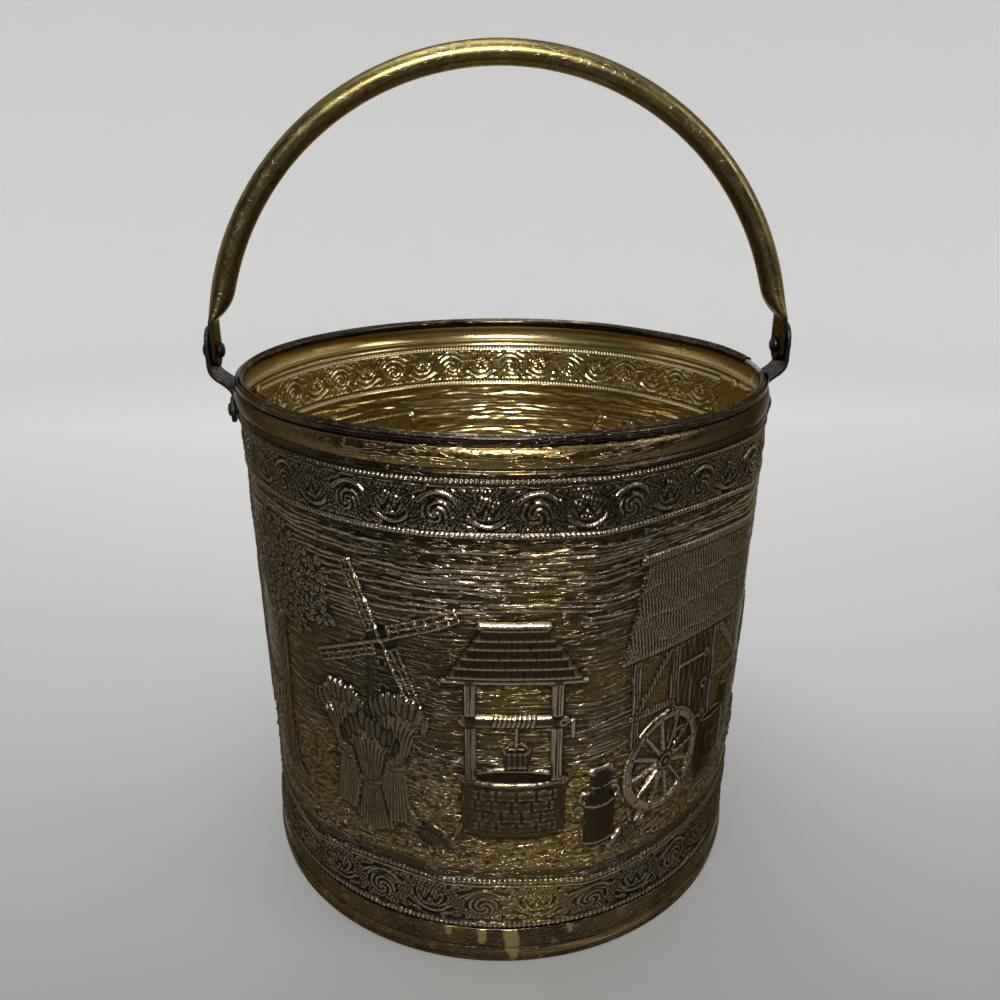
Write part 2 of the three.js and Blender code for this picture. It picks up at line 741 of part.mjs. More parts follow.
function rivetGeometry(shankRadius, headRadius, headHeight, from, to) {
  // A rivet along +X whose two domed heads sit just outside the stretch from..to.
  const domeSteps = 3;
  const outline = [];
  for (let step = 0; step <= domeSteps; step += 1) {
    const turn = (step / domeSteps) * (Math.PI / 2);
    outline.push([headRadius * Math.sin(turn), from - headHeight * Math.cos(turn)]);
  }
  outline.push([shankRadius, from], [shankRadius, to]);
  for (let step = domeSteps; step >= 0; step -= 1) {
    const turn = (step / domeSteps) * (Math.PI / 2);
    outline.push([headRadius * Math.sin(turn), to + headHeight * Math.cos(turn)]);
  }
  const geometry = new THREE.LatheGeometry(
    outline.map(([radius, height]) => new THREE.Vector2(radius, height)),
    rivetFacets,
  );
  geometry.rotateZ(-Math.PI / 2);
  return geometry;
}

function earRivetGeometry() {
  const wallInner = wallTopRadius - 2 * sheet;
  const plateOuter = footPlateInner + strapThickness;
  return rivetGeometry(earRivetRadius, earHeadRadius, earHeadHeight, wallInner - seat, plateOuter + seat);
}

function pivotRivetGeometry() {
  return rivetGeometry(pivotRadius, pivotHeadRadius, pivotHeadHeight, tabInner - seat, uprightOuter + seat);
}

// ---------------------------------------------------------------- handle

function handleSection(half) {
  // One ring of the tube: half.thick across the bow, half.wide along Y, and half.squash from 0,
  // a round tube, to 1, a flat with round edges.
  const power = 1 + (tabEdgeRounding - 1) * half.squash;
  const bent = (value) => Math.sign(value) * Math.pow(Math.abs(value), power);
  return Array.from({ length: tubeFacets }, (_, side) => {
    const turn = ((side + 0.5) / tubeFacets) * 2 * Math.PI;
    return new THREE.Vector2(half.thick * bent(Math.cos(turn)), -half.wide * bent(Math.sin(turn)));
  });
}

function handleStations() {
  // The right half of the handle, from below the tab to the top of the bow: the outer edge,
  // the way it faces and how far the tube is squashed there.
  const outerEdge = (turn) =>
    new THREE.Vector2(bowOuterRadius * Math.cos(turn), bowCentreHeight + bowOuterRadius * Math.sin(turn));
  const taperAngle = Math.asin((hingeHeight + taperTop - bowCentreHeight) / bowOuterRadius);
  const taperStart = outerEdge(taperAngle);
  const pull = (taperTop - tabTop) / 3;
  const taper = new THREE.CubicBezierCurve(
    new THREE.Vector2(tabOuter, hingeHeight + tabTop),
    new THREE.Vector2(tabOuter, hingeHeight + tabTop + pull),
    new THREE.Vector2(
      taperStart.x + pull * Math.sin(taperAngle),
      taperStart.y - pull * Math.cos(taperAngle),
    ),
    taperStart,
  );
  const stations = [{ edge: new THREE.Vector2(tabOuter, hingeHeight - tabWidth), facing: 0, squash: 1 }];
  for (let step = 0; step <= taperSteps; step += 1) {
    const share = step / taperSteps;
    const along = taper.getTangent(share);
    stations.push({
      edge: taper.getPoint(share),
      facing: Math.atan2(-along.x, along.y),
      squash: Math.pow(1 - share, 3),
    });
  }
  for (let step = 1; step <= bowSteps / 2; step += 1) {
    const turn = taperAngle + ((Math.PI / 2 - taperAngle) * step) / (bowSteps / 2);
    stations.push({ edge: outerEdge(turn), facing: turn, squash: 0 });
  }
  return stations;
}

function handleRings(inset, flatThickness) {
  // The rings of one skin of the tube, from the right tab over the bow to the left tab;
  // inset is how far the skin lies inside the tube's outer face.
  const right = handleStations().map(({ edge, facing, squash }) => {
    const blend = (round, flat) => round + (flat - round) * squash;
    const section = handleSection({
      thick: blend(tubeRadius - inset, flatThickness / 2),
      wide: tubeRadius + (tabWidth / 2 - tubeRadius) * Math.sqrt(squash) - inset,
      squash,
    });
    const outward = new THREE.Vector2(Math.cos(facing), Math.sin(facing));
    const centre = edge.clone().addScaledVector(outward, -blend(tubeRadius, tabThickness / 2));
    const inPlace = (p) => new THREE.Vector3(centre.x + p.x * outward.x, p.y, centre.y + p.x * outward.y);
    return section.map(inPlace);
  });
  const left = right.slice(0, -1).map((ring) => ring.map((p) => new THREE.Vector3(-p.x, p.y, p.z)));
  return [...right, ...left.reverse()];
}

function tabEndCutter() {
  // What is cut away to leave a round end below the hinge line.
  const radius = tabWidth / 2;
  const shape = new THREE.Shape();
  shape.moveTo(-tabWidth, 0);
  shape.lineTo(-radius, 0);
  shape.absarc(0, 0, radius, Math.PI, 2 * Math.PI, false);
  shape.lineTo(tabWidth, 0);
  shape.lineTo(tabWidth, -2 * tabWidth);
  shape.lineTo(-tabWidth, -2 * tabWidth);
  const depth = 4 * tabThickness;
  const geometry = new THREE.ExtrudeGeometry(shape, { depth, bevelEnabled: false, curveSegments: 12 });
  geometry.rotateX(Math.PI / 2);
  geometry.rotateZ(Math.PI / 2);
  geometry.translate(-depth / 2, 0, 0);
  return toSolid(geometry);
}

function handleSolid() {
  const outside = handleRings(0, tabThickness);
  const inside = handleRings(tubeWall, tabSlit);
  let tube = toSolid(gridGeometry([...outside, ...inside.reverse()], true));
  for (const side of [-1, 1]) {
    const centre = [side * (tabOuter - tabThickness / 2), 0, hingeHeight];
    tube = tube.subtract(tabEndCutter().translate(centre));
    const pivotHole = discSolid(pivotRadius + holePlay, 3 * tabThickness, rivetFacets);
    tube = tube.subtract(pivotHole.translate(centre));
  }
  return tube;
}

// ---------------------------------------------------------------- assembly

const bucket = new THREE.Group();

function place(parent, name, geometry, material, turn = 0, height = 0) {
  const mesh = new THREE.Mesh(geometry, material);
  mesh.name = name;
  mesh.rotation.z = turn;
  mesh.position.z = height;
  parent.add(mesh);
}

place(bucket, 'body_wall', toGeometry(wallSolid()), brassWall);
place(bucket, 'rim_wire', wireGeometry(), greySteel);
place(bucket, 'base_disc', discGeometry(), greySteel);
place(bucket, 'foot_band', bandGeometry(), brassFoot);
place(bucket, 'handle', toGeometry(handleSolid()), brassTube);

const sides = [
  { name: 'right', turn: 0 },
  { name: 'left', turn: Math.PI },
];
for (const { name, turn } of sides) {
  const ear = new THREE.Group();
  ear.rotation.z = turn;
  place(ear, `ear_${name}`, toGeometry(earSolid()), darkSteel);
  place(ear, `pivot_rivet_${name}`, pivotRivetGeometry(), darkSteel, 0, hingeHeight);
  const frontSign = turn === 0 ? -1 : 1;
  const frontTurn = frontSign * earRivetAngle;
  place(ear, `ear_${name}_rivet_front`, earRivetGeometry(), darkSteel, frontTurn, footPlateMiddle);
  place(ear, `ear_${name}_rivet_back`, earRivetGeometry(), darkSteel, -frontTurn, footPlateMiddle);
  bucket.add(ear);
}

export default bucket;
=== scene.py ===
# A round embossed brass hearth bucket for coal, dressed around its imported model.
# Lengths are in millimetres until a mesh is made. Angles round the bucket are in degrees
# from +X, where the wall's lap is, towards +Y, which is the back.

import json
from math import atan2, cos, pi, radians, sin, sqrt

import bmesh
import bpy
import numpy as np
from mathutils import Matrix, Vector


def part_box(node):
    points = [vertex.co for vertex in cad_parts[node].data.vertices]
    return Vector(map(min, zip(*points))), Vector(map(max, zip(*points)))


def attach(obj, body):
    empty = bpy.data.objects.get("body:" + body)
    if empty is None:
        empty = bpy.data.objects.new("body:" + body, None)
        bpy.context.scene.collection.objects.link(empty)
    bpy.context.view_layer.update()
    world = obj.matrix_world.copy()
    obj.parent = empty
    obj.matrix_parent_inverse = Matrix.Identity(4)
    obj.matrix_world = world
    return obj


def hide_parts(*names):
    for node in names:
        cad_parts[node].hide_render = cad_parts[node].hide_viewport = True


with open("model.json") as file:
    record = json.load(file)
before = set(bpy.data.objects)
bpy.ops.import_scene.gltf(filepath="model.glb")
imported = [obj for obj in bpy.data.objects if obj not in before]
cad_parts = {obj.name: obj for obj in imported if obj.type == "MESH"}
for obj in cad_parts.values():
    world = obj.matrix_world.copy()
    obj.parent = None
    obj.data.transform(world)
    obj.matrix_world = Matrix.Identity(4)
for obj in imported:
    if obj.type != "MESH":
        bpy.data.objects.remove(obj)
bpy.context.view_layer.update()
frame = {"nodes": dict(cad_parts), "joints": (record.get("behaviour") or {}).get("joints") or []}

MM = 0.001


def box_mm(node):
    low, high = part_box(node)
    return np.array(low) / MM, np.array(high) / MM


# ---------------------------------------------------------------- sizes from the frame

wall_high = box_mm("body_wall")[1]
band_high = box_mm("foot_band")[1]
disc_low, disc_high = box_mm("base_disc")
wire_low, wire_high = box_mm("rim_wire")
ear_high = box_mm("ear_right")[1]
handle_low, handle_high = box_mm("handle")
pivot_low, pivot_high = box_mm("pivot_rivet_right")
rivet_low, rivet_high = box_mm("ear_right_rivet_back")
hinge_z = frame["joints"][0]["pos_m"][2] / MM

rim_z = wall_high[2]
band_top = band_high[2]
wire_radius = (wire_high[2] - wire_low[2]) / 2
roll_z = (wire_high[2] + wire_low[2]) / 2
roll_radius = rim_z - roll_z
roll_centre = wire_high[0] - wire_radius


# ---------------------------------------------------------------- a flat sheet of relief


def ease(low, high, value):
    """0 at low, 1 at high and a smooth change between; low may be the larger."""
    share = np.clip((value - low) / (high - low), 0, 1)
    return share * share * (3 - 2 * share)


def dome(share):
    """A round top: 1 in the middle and 0 where share reaches 1."""
    return np.sqrt(np.clip(1 - np.square(share), 0, 1))


def saw(value):
    """0 in the middle of each whole step and 1 at its ends."""
    return np.abs(value % 1 - 0.5) * 2


def blur(field, across, up):
    """A Gaussian blur by Fourier transform, round in columns; the widths are in cells."""
    columns = field.shape[1]
    pad = int(4 * up) + 1
    rows = field.shape[0]
    tall = np.pad(field, ((pad, pad), (0, 0)), mode="edge")
    turns_across = np.fft.rfftfreq(columns)
    turns_up = np.fft.fftfreq(tall.shape[0])[:, None]
    fade = np.exp(-2 * (pi * turns_across * across) ** 2 - 2 * (pi * turns_up * up) ** 2)
    return np.fft.irfft2(np.fft.rfft2(tall) * fade, tall.shape)[pad : pad + rows]


def grain(rng, shape, across, up):
    """Smooth noise of unit spread, with blots of the given size in cells."""
    field = blur(rng.standard_normal(shape), across, up)
    return field / field.std()


class Sheet:
    """A stretch of the wall laid flat: u runs round the wall and z up it.

    h is how far the metal stands out, dark how far it is a smooth dark form, and gold how
    far it is bare bright ground.
    """

    def __init__(self, u_line, z_line):
        self.u_line = u_line
        self.z_line = z_line
        self.u, self.z = np.meshgrid(u_line, z_line)
        self.h = np.zeros_like(self.u)
        self.dark = np.zeros_like(self.u)
        self.gold = np.zeros_like(self.u)

    def part(self, left, right, bottom, top):
        columns = slice(*np.searchsorted(self.u_line, (left, right)))
        rows = slice(*np.searchsorted(self.z_line, (bottom, top)))
        return rows, columns

    def all_round(self, bottom, top):
        rows = slice(*np.searchsorted(self.z_line, (bottom, top)))
        return rows, slice(None)

    def lay(self, where, mask, height=None, dark=None, gold=None):
        """Puts a form over what lies there, as far as its mask says."""
        for name, value in (("h", height), ("dark", dark), ("gold", gold)):
            if value is not None:
                field = getattr(self, name)[where]
                field += (value - field) * mask

    def plate(self, corners, rise, rounding, dark=0.0, gold=0.0, detail=None):
        """A convex flat form with rounded edges; detail(u, z) adds to its height."""
        edge = 0.6
        corners = np.array(corners, float)
        low = corners.min(0) - edge
        high = corners.max(0) + edge
        where = self.part(low[0], high[0], low[1], high[1])
        u, z = self.u[where], self.z[where]
        inside = np.full(u.shape, np.inf)
        for start, end in zip(corners, np.roll(corners, -1, axis=0)):
            along = (end - start) / np.hypot(*(end - start))
            inside = np.minimum(inside, (z - start[1]) * along[0] - (u - start[0]) * along[1])
        height = rise * dome(1 - np.clip(inside / rounding, 0, 1))
        if detail is not None:
            height = height + detail(u, z) * ease(0, rounding, inside)
        self.lay(where, ease(-edge / 2, edge / 2, inside), height, dark, gold)

    def blob(self, centre, radii, rise, turn=0.0, dark=0.0, gold=0.0, base=0.0, detail=None):
        """An oval form, domed; detail(across, along) adds to its height."""
        reach = max(radii) + 1
        u, z = centre
        where = self.part(u - reach, u + reach, z - reach, z + reach)
        right = self.u[where] - u
        up = self.z[where] - z
        across = cos(radians(turn)) * right + sin(radians(turn)) * up
        along = cos(radians(turn)) * up - sin(radians(turn)) * right
        share = np.hypot(across / radii[0], along / radii[1])
        height = base + rise * dome(share)
        if detail is not None:
            height = height + detail(across, along) * ease(1, 0.75, share)
        edge = 0.35 / min(radii)
        self.lay(where, ease(1 + edge, 1 - edge, share), height, dark, gold)

    def line(self, points, width, rise, dark=None, gold=None, base=None, taper=1.0, detail=None):
        """A round-topped line through the points; with no base it rides on what is below."""
        points = np.array(points, float)
        low = points.min(0) - width
        high = points.max(0) + width
        where = self.part(low[0], high[0], low[1], high[1])
        u, z = self.u[where], self.z[where]
        nearest = np.full(u.shape, np.inf)
        spans = len(points) - 1
        for index in range(spans):
            start = points[index]
            step = points[index + 1] - start
            along = (u - start[0]) * step[0] + (z - start[1]) * step[1]
            share = np.clip(along / (step @ step), 0, 1)
            gap = np.hypot(u - start[0] - share * step[0], z - start[1] - share * step[1])
            half = width / 2 * (1 + (taper - 1) * (index + share) / spans)
            nearest = np.minimum(nearest, gap / half)
        height = rise * dome(nearest)
        mask = ease(1.15, 0.85, nearest)
        if base is None:
            self.h[where] += height
            self.lay(where, mask, None, dark, gold)
        else:
            if detail is not None:
                height = height + detail(u, z)
            self.lay(where, mask, base + height, dark, gold)

    def rail(self, left, right, level, width, rise, **finish):
        """A level line."""
        self.line([(left, level), (right, level)], width, rise, **finish)

    def ring(self, centre, radii, width, rise, start=0, end=360, **finish):
        """An oval line, or a part of one."""
        turns = np.radians(np.linspace(start, end, max(8, int(abs(end - start) / 12))))
        around = [centre[0] + radii[0] * np.cos(turns), centre[1] + radii[1] * np.sin(turns)]
        self.line(np.stack(around, 1), width, rise, **finish)


def corners_of(middle, low_half, high_half, bottom, top):
    """The corners of an upright form that is as wide on each side of its middle."""
    return [
        (middle - low_half, bottom),
        (middle + low_half, bottom),
        (middle + high_half, top),
        (middle - high_half, top),
    ]


# ---------------------------------------------------------------- mouldings and borders


def moulding(z, bottom, top, bulge):
    return bulge * dome(2 * (z - bottom) / (top - bottom) - 1)


def milled_bead(sheet, bottom, top, pitch, bulge):
    """A half-round bead cut across into small beads."""
    where = sheet.all_round(bottom, top)
    round_top = moulding(sheet.z[where], bottom, top, bulge)
    cut = np.abs(np.cos(pi * sheet.u[where] / pitch))
    sheet.h[where] = round_top * (0.42 + 0.58 * cut)
    sheet.dark[where] = 0.2


def leaf_face(wide, long):
    """A leaf's surface: a rolled edge and a midrib with side veins."""

    def face(across, along):
        share = np.hypot(across / wide, along / long)
        veins = 0.22 * np.abs(np.sin(2.6 * along + 1.6 * np.abs(across)))
        return 0.5 * ease(0.45, 0.8, share) + 0.4 * ease(0.5, 0, np.abs(across)) + veins - 0.2

    return face


# The leaves in each corner between two flowers: how far from the vine's crossing and how far
# in from the border's edge, half the length and half the width, and the tilt.
corner_leaves = (
    (0.1, 0.46, 0.34, 0.19, 62),
    (0.24, 0.26, 0.34, 0.17, 24),
    (-0.02, 0.2, 0.3, 0.16, 100),
    (0.42, 0.16, 0.3, 0.13, 80),
    (-0.22, 0.14, 0.26, 0.12, 70),
    (0.06, 0.86, 0.44, 0.2, 35),
)


def border(sheet, middle, half, spacing):
    """A winding vine, with a rose or a fruit in each bend, leaves and berries."""
    where = sheet.all_round(middle - half, middle + half)
    u = sheet.u[where]
    z = sheet.z[where] - middle
    h = 0.3 * np.sin(2.3 * u + np.sin(1.9 * z)) * np.sin(2.9 * z + np.sin(1.3 * u)) - 0.25

    # The vine: a channel with a thin rolled edge on each side.
    swing = 0.62 * half
    vine = swing * np.cos(pi * u / spacing)
    slope = swing * pi / spacing * np.sin(pi * u / spacing)
    off = np.abs(z - vine) / np.sqrt(1 + slope**2)
    stem = 0.3 + 0.6 * dome((off - 1.35) / 0.65) + 0.3 * np.sin(2.3 * u) ** 4
    h = np.where(off < 2, np.maximum(h, stem), h)

    # The flowers and fruits, in turn above and below the vine.
    cell = np.round(u / spacing)
    side = np.where(cell % 2 == 0, 1.0, -1.0)
    across = u - cell * spacing
    along = (z + 0.2 * half * side) * side
    radius = 0.7 * half
    share = np.hypot(across, along) / radius
    turn = np.arctan2(along, across)
    petals = 0.9 * np.abs(np.sin(1.5 * turn + 7.5 * share)) ** 3 + 0.5 * dome(share / 0.22)
    seeds = np.abs(np.sin(1.5 * across + 0.5 * along) * np.sin(1.5 * along - 0.5 * across))
    husk = ease(0.12, 0.3, np.abs(along / radius - 0.3 + 0.3 * np.cos(across)))
    fruit = 0.9 * seeds * husk + 0.25 * husk
    flower = 0.9 * dome(share) + np.where(cell % 2 == 0, petals, fruit) * ease(1, 0.86, share)
    flower += 0.5 * dome((share - 0.9) / 0.14)
    on = ease(1.06, 0.98, share)
    h += (flower - h) * on

    # A curled leaf goes round most of each one.
    curl = np.abs(share - 1.36 - 0.1 * np.sin(2 * turn)) * radius
    wrapped = ease(-0.8, -0.5, np.sin(turn + 0.6))
    h = np.maximum(h, (1.0 * dome(curl / 0.8) + 0.25) * wrapped * (curl < 0.8))
    sheet.h[where] = h
    sheet.dark[where] = 1.0

    first = int(sheet.u_line[0] // spacing) - 1
    last = int(sheet.u_line[-1] // spacing) + 2
    for index in range(first, last):
        crossing = (index + 0.5) * spacing
        climb = 1 if index % 2 else -1
        for up in (-1, 1):
            lean = -up * climb
            corner = middle + up * half
            for right, down, long, wide, tilt in corner_leaves:
                heart = (crossing + right * spacing * lean, corner - down * half * up)
                radii = (wide * half, long * half)
                face = leaf_face(*radii)
                sheet.blob(heart, radii, 0.35, tilt * lean * up, dark=0.9, base=0.1, detail=face)
            for berry in range(6):
                row, turn = divmod(berry, 3)
                spot_u = crossing + lean * (0.33 * spacing + 0.2 * half * (turn + 0.5 * row - 1))
                spot_z = corner - up * half * (0.13 + 0.17 * row)
                sheet.blob((spot_u, spot_z), (0.1 * half, 0.1 * half), 1.0, dark=0.8)


# ---------------------------------------------------------------- the farmyard picture

timber_half = 2.8
horizon_height = 128
calm_sky = (192, 212)


def leaf_vein(across, along):
    return 0.28 * np.abs(np.sin(1.9 * along)) - 0.35 * ease(0.45, 0, np.abs(across))


def tree(sheet, rng, foot, crown, size):
    """An old oak: a ridged trunk with roots, four boughs and a crown of leaf clumps."""
    top = crown[1] - 0.25 * size[1]

    def bark(u, z):
        return 0.28 * np.sin(2.6 * (u - foot[0]) + 0.9 * np.sin(z / 4.5) + 0.12 * z)

    for root in (-1, -0.35, 0.4, 1):
        knee = (foot[0] + 8 * root, foot[1] + 8 - 4 * abs(root))
        toe = (foot[0] + 18 * root, foot[1] - 3 * (1 - abs(root)))
        top_end = (foot[0] + 3 * root, foot[1] + 20)
        sheet.line([top_end, knee, toe], 8, 1.2, dark=1.0, base=0.3, taper=0.3)
    trunk = [(foot[0], foot[1] + 5), (foot[0] - 1, foot[1] + 30), (foot[0] + 1, top)]
    sheet.line(trunk, 19, 1.7, dark=1.0, base=0.3, taper=0.6, detail=bark)
    for lean, reach in ((-1, 1.0), (1, 0.85), (-0.4, 1.1), (0.55, 1.15)):
        start = (foot[0] + 2 * lean, top - 16)
        bend = (foot[0] + 0.3 * size[0] * lean, top + 5)
        end = (foot[0] + 0.7 * size[0] * lean, crown[1] + 0.35 * size[1] * (reach - 0.5))
        sheet.line([start, bend, end], 7, 1.3, dark=1.0, base=0.4, taper=0.35, detail=bark)
    clumps = 30
    for index in range(clumps):
        around = 2 * pi * index * 0.618
        far = sqrt((index + 0.5) / clumps)
        heart = (crown[0] + size[0] * far * cos(around), crown[1] + size[1] * far * sin(around))
        shade = rng.uniform(0.35, 0.95)
        sheet.blob(heart, (7.5, 6), 0.7, dark=shade, base=0.1)
        leaves = 11
        for leaf in range(leaves):
            spin = 2 * pi * leaf / leaves + rng.uniform(-0.3, 0.3)
            out = rng.uniform(2, 7)
            spot = (heart[0] + 1.2 * out * cos(spin), heart[1] + out * sin(spin))
            tilt = np.degrees(spin) - 90 + rng.uniform(-25, 25)
            base = 0.6 - 0.04 * out
            sheet.blob(spot, (1.7, 3.3), 0.8, tilt, dark=shade, base=base, detail=leaf_vein)


def windmill(sheet, foot, height):
    """A tower mill far off, with lattice sails."""
    u, z = foot

    def courses(across, along):
        return 0.16 * np.sign(np.sin(2 * along)) * np.abs(np.sin(2 * along)) ** 0.3

    sheet.plate(corners_of(u, 11, 7, z, z + height), 1.1, 5, dark=0.45, detail=courses)
    sheet.blob((u, z + height + 1), (8.5, 6), 1.3, dark=0.8)
    for level, half_wide, tall in ((0.0, 2.2, 8), (0.45, 1.4, 4), (0.72, 1.4, 4)):
        sill = z + level * height
        sheet.plate(corners_of(u, half_wide, half_wide, sill, sill + tall), 0.5, 0.7, dark=1.0)
    hub = np.array([u, z + height - 1])
    reach = 0.78 * height
    broad = 6.0
    for quarter in range(4):
        turn = radians(22 + 90 * quarter)
        out = np.array([cos(turn), sin(turn)])
        side = np.array([-out[1], out[0]])
        near = hub + 6 * out
        far = hub + reach * out
        for share in np.linspace(0, 1, 8):
            rung = near + share * (far - near)
            sheet.line([rung, rung + broad * side], 1.1, 0.6, gold=0.4)
        for offset in (0, 0.5, 1):
            shift = broad * offset * side
            sheet.line([near + shift, far + shift], 1.2, 0.6, gold=0.4)
        sheet.line([hub, far], 1.9, 0.8, dark=0.5)
    sheet.blob(hub, (2.2, 2.2), 1.1, base=1.0, dark=0.9)


def well(sheet, foot):
    """A round stone well under a shingled roof, with a windlass and its bucket."""
    u, z = foot
    wide, tall = 25.0, 33.0
    eaves = z + 88
    ridge = z + 117
    axle = z + 66

    def stones(across, along):
        turned = wide * np.arcsin(np.clip((across - u) / wide, -1, 1))
        level = (along + 2.6 * (1 - ((across - u) / wide) ** 2)) / 6.4
        course = np.floor(level)
        stagger = turned / 10 + 0.63 * (course % 2) + 0.13 * course
        return 1.1 * (1 - np.maximum(saw(level), saw(stagger)) ** 5) - 0.8

    def wood(across, along):
        return 0.16 * np.sin(4.2 * across + 0.5 * np.sin(along / 4))

    def hoops(across, along):
        hoop = ease(0.9, 0.3, np.abs(np.abs(along - (z + 44.5)) - 4))
        return 0.3 * hoop + 0.14 * np.sin(2.4 * across)

    def shingles(across, along):
        level = (along - z) / 5
        joint = saw(across / 5.6 + 0.5 * np.floor(level))
        return 0.8 * (1 - level % 1) - 0.4 * joint**8

    drum = [(u - wide, z), (u - 0.5 * wide, z - 3.5), (u + 0.5 * wide, z - 3.5), (u + wide, z)]
    drum += [(u + wide, z + tall), (u - wide, z + tall)]
    sheet.plate(drum, 2.2, 9, dark=0.85, detail=stones)
    sheet.blob((u, z + tall), (wide + 2, 6.5), 1.0, base=1.0, dark=0.8)
    sheet.blob((u, z + tall + 0.8), (wide - 4, 3.8), -0.9, base=1.0, dark=1.0)
    for side in (-1, 1):
        post = corners_of(u + 20.5 * side, timber_half, timber_half, z + tall - 1, eaves + 3)
        sheet.plate(post, 1.9, 2, dark=0.95, detail=wood)
    sheet.rail(u - 23, u + 23, axle, 6.5, 1.5, dark=0.8, base=0.5)
    for turn in np.linspace(-9, 9, 9):
        sheet.line([(u + turn - 0.8, axle - 3.5), (u + turn + 0.8, axle + 3.5)], 1.3, 0.55)
    sheet.line([(u + 1.5, axle - 3), (u + 1.5, z + 52)], 1.3, 0.8, dark=0.4, base=0.6)
    sheet.ring((u + 1.5, z + 50), (5.2, 4), 1.0, 0.8, 0, 180, dark=0.4, base=0.5)
    sheet.plate(corners_of(u + 1.5, 5.5, 7.1, z + 38, z + 51), 1.7, 4, dark=0.95, detail=hoops)
    sheet.line([(u + 23, axle), (u + 28, axle), (u + 28, axle - 9)], 1.9, 1.1, dark=0.7, base=0.4)
    sheet.plate(corners_of(u, 33, 15, eaves, ridge), 1.5, 2.2, dark=0.6, detail=shingles)
    sheet.rail(u - 33, u + 33, eaves, 2.6, 0.8, dark=0.5, base=1.0)
    sheet.rail(u - 15.5, u + 15.5, ridge, 3.2, 1.0, dark=0.8, base=1.0)


def sheaf(sheet, rng, foot, height, lean=0.0, wide=11.0):
    """A bound sheaf of wheat: a fan of stalks drawn in at a band, with ears on top."""
    u, z = foot
    waist = 0.45 * height
    stalks = 11

    def kernels(across, along):
        return 0.25 * np.abs(np.sin(2.1 * along + 1.2 * np.abs(across)))

    order = sorted(range(stalks), key=lambda index: -abs(index - stalks // 2))
    for index in order:
        share = 2 * index / (stalks - 1) - 1
        low = u + 0.95 * wide * share
        middle = u + 0.42 * wide * share + lean * waist
        high = u + 1.35 * wide * share + lean * height
        bulge = 1.6 * sqrt(1.05 - share**2)
        top = z + height * (1 - 0.16 * share**2) + rng.uniform(-2, 2)
        stalk = [
            (low, z - 2 + 2 * share**2),
            (0.5 * (low + middle), z + 0.5 * waist),
            (middle, z + waist),
            (0.45 * middle + 0.55 * high, z + 0.75 * height),
            (high, top - 5),
        ]
        sheet.line(stalk, 2.4, 1.2, dark=1.0, base=bulge)
        tilt = -14 * share - 20 * lean
        ear = (high + 0.6 * share, top)
        sheet.blob(ear, (2.1, 6), 1.1, tilt, dark=0.8, base=bulge, detail=kernels)
    band = u + lean * waist
    tie = [(band + side * wide / 2, z + waist + 0.6 - 1.8 * (side == 0)) for side in (-1, 0, 1)]
    sheet.line(tie, 3.6, 1.1, dark=0.7, base=1.6)


def wheel(sheet, centre, radius):
    """A cart wheel with twelve spokes."""
    squeeze = 0.93 * radius
    sheet.ring(centre, (squeeze, radius), 4.4, 1.3, dark=0.95, base=1.1)
    sheet.ring(centre, (squeeze + 2.4, radius + 2.4), 1.2, 0.9, dark=0.4, base=0.9)
    spokes = 12
    for spoke in range(spokes):
        turn = 2 * pi * (spoke + 0.3) / spokes
        rim = (centre[0] + squeeze * cos(turn), centre[1] + radius * sin(turn))
        sheet.line([centre, rim], 2.4, 1.1, dark=0.9, base=1.0, taper=0.75)
    sheet.blob(centre, (6, 6.3), 1.1, base=1.5, dark=0.95)
    sheet.ring(centre, (4, 4.2), 1.0, 0.5)
    sheet.blob(centre, (1.8, 1.8), 0.7, base=2.3, dark=0.7)


def barrel(sheet, foot, wide, tall):
    """An oak cask standing on its end."""
    u, z = foot
    half = wide / 2

    def staves(across, along):
        turned = np.arcsin(np.clip((across - u) / (half + 1), -1, 1))
        hoop = np.zeros_like(across)
        for level in (0.08, 0.3, 0.7, 0.92):
            hoop += ease(1.7, 1.1, np.abs(along - z - level * tall))
        return 0.2 - 0.45 * saw(3.4 * turned) ** 9 * (1 - hoop) + 0.42 * hoop

    left = [(u - half, z + 0.7 * tall), (u - half, z + 0.3 * tall), (u - 0.85 * half, z)]
    right = [(2 * u - across, along) for across, along in reversed(left)]
    belly = [*left, *right, (u + 0.85 * half, z + tall), (u - 0.85 * half, z + tall)]
    sheet.plate(belly, 2.0, 0.8 * half, dark=1.0, detail=staves)
    sheet.blob((u, z + tall), (0.86 * half, 3.2), 0.5, base=1.2, dark=0.8)
    sheet.blob((u, z + tall + 0.4), (0.7 * half, 2.1), -0.5, base=1.2, dark=1.0)


def churn(sheet, foot, tall):
    """A milk churn with a lid and two ears."""
    u, z = foot
    for side in (-1, 1):
        sheet.ring((u + 8 * side, z + 0.66 * tall), (2.6, 3.4), 1.4, 0.9, dark=0.6, base=0.6)
    neck = z + 0.78 * tall
    sheet.plate(corners_of(u, 5, 5.8, neck - 5, z + tall), 1.5, 4, dark=1.0)
    body = [(u - 8, z), (u + 8, z), (u + 8.4, z + 0.58 * tall), (u + 5.2, neck), (u - 5.2, neck)]
    body += [(u - 8.4, z + 0.58 * tall)]
    sheet.plate(body, 1.9, 7, dark=1.0)
    for level, half in ((0.07, 8.2), (0.57, 8.6), (0.8, 5.6)):
        band_z = z + level * tall
        sheet.line([(u - half, band_z), (u, band_z - 1.2), (u + half, band_z)], 1.6, 0.5, dark=0.7)
    sheet.blob((u, z + tall), (7.2, 2.8), 0.8, base=1.1, dark=0.9)


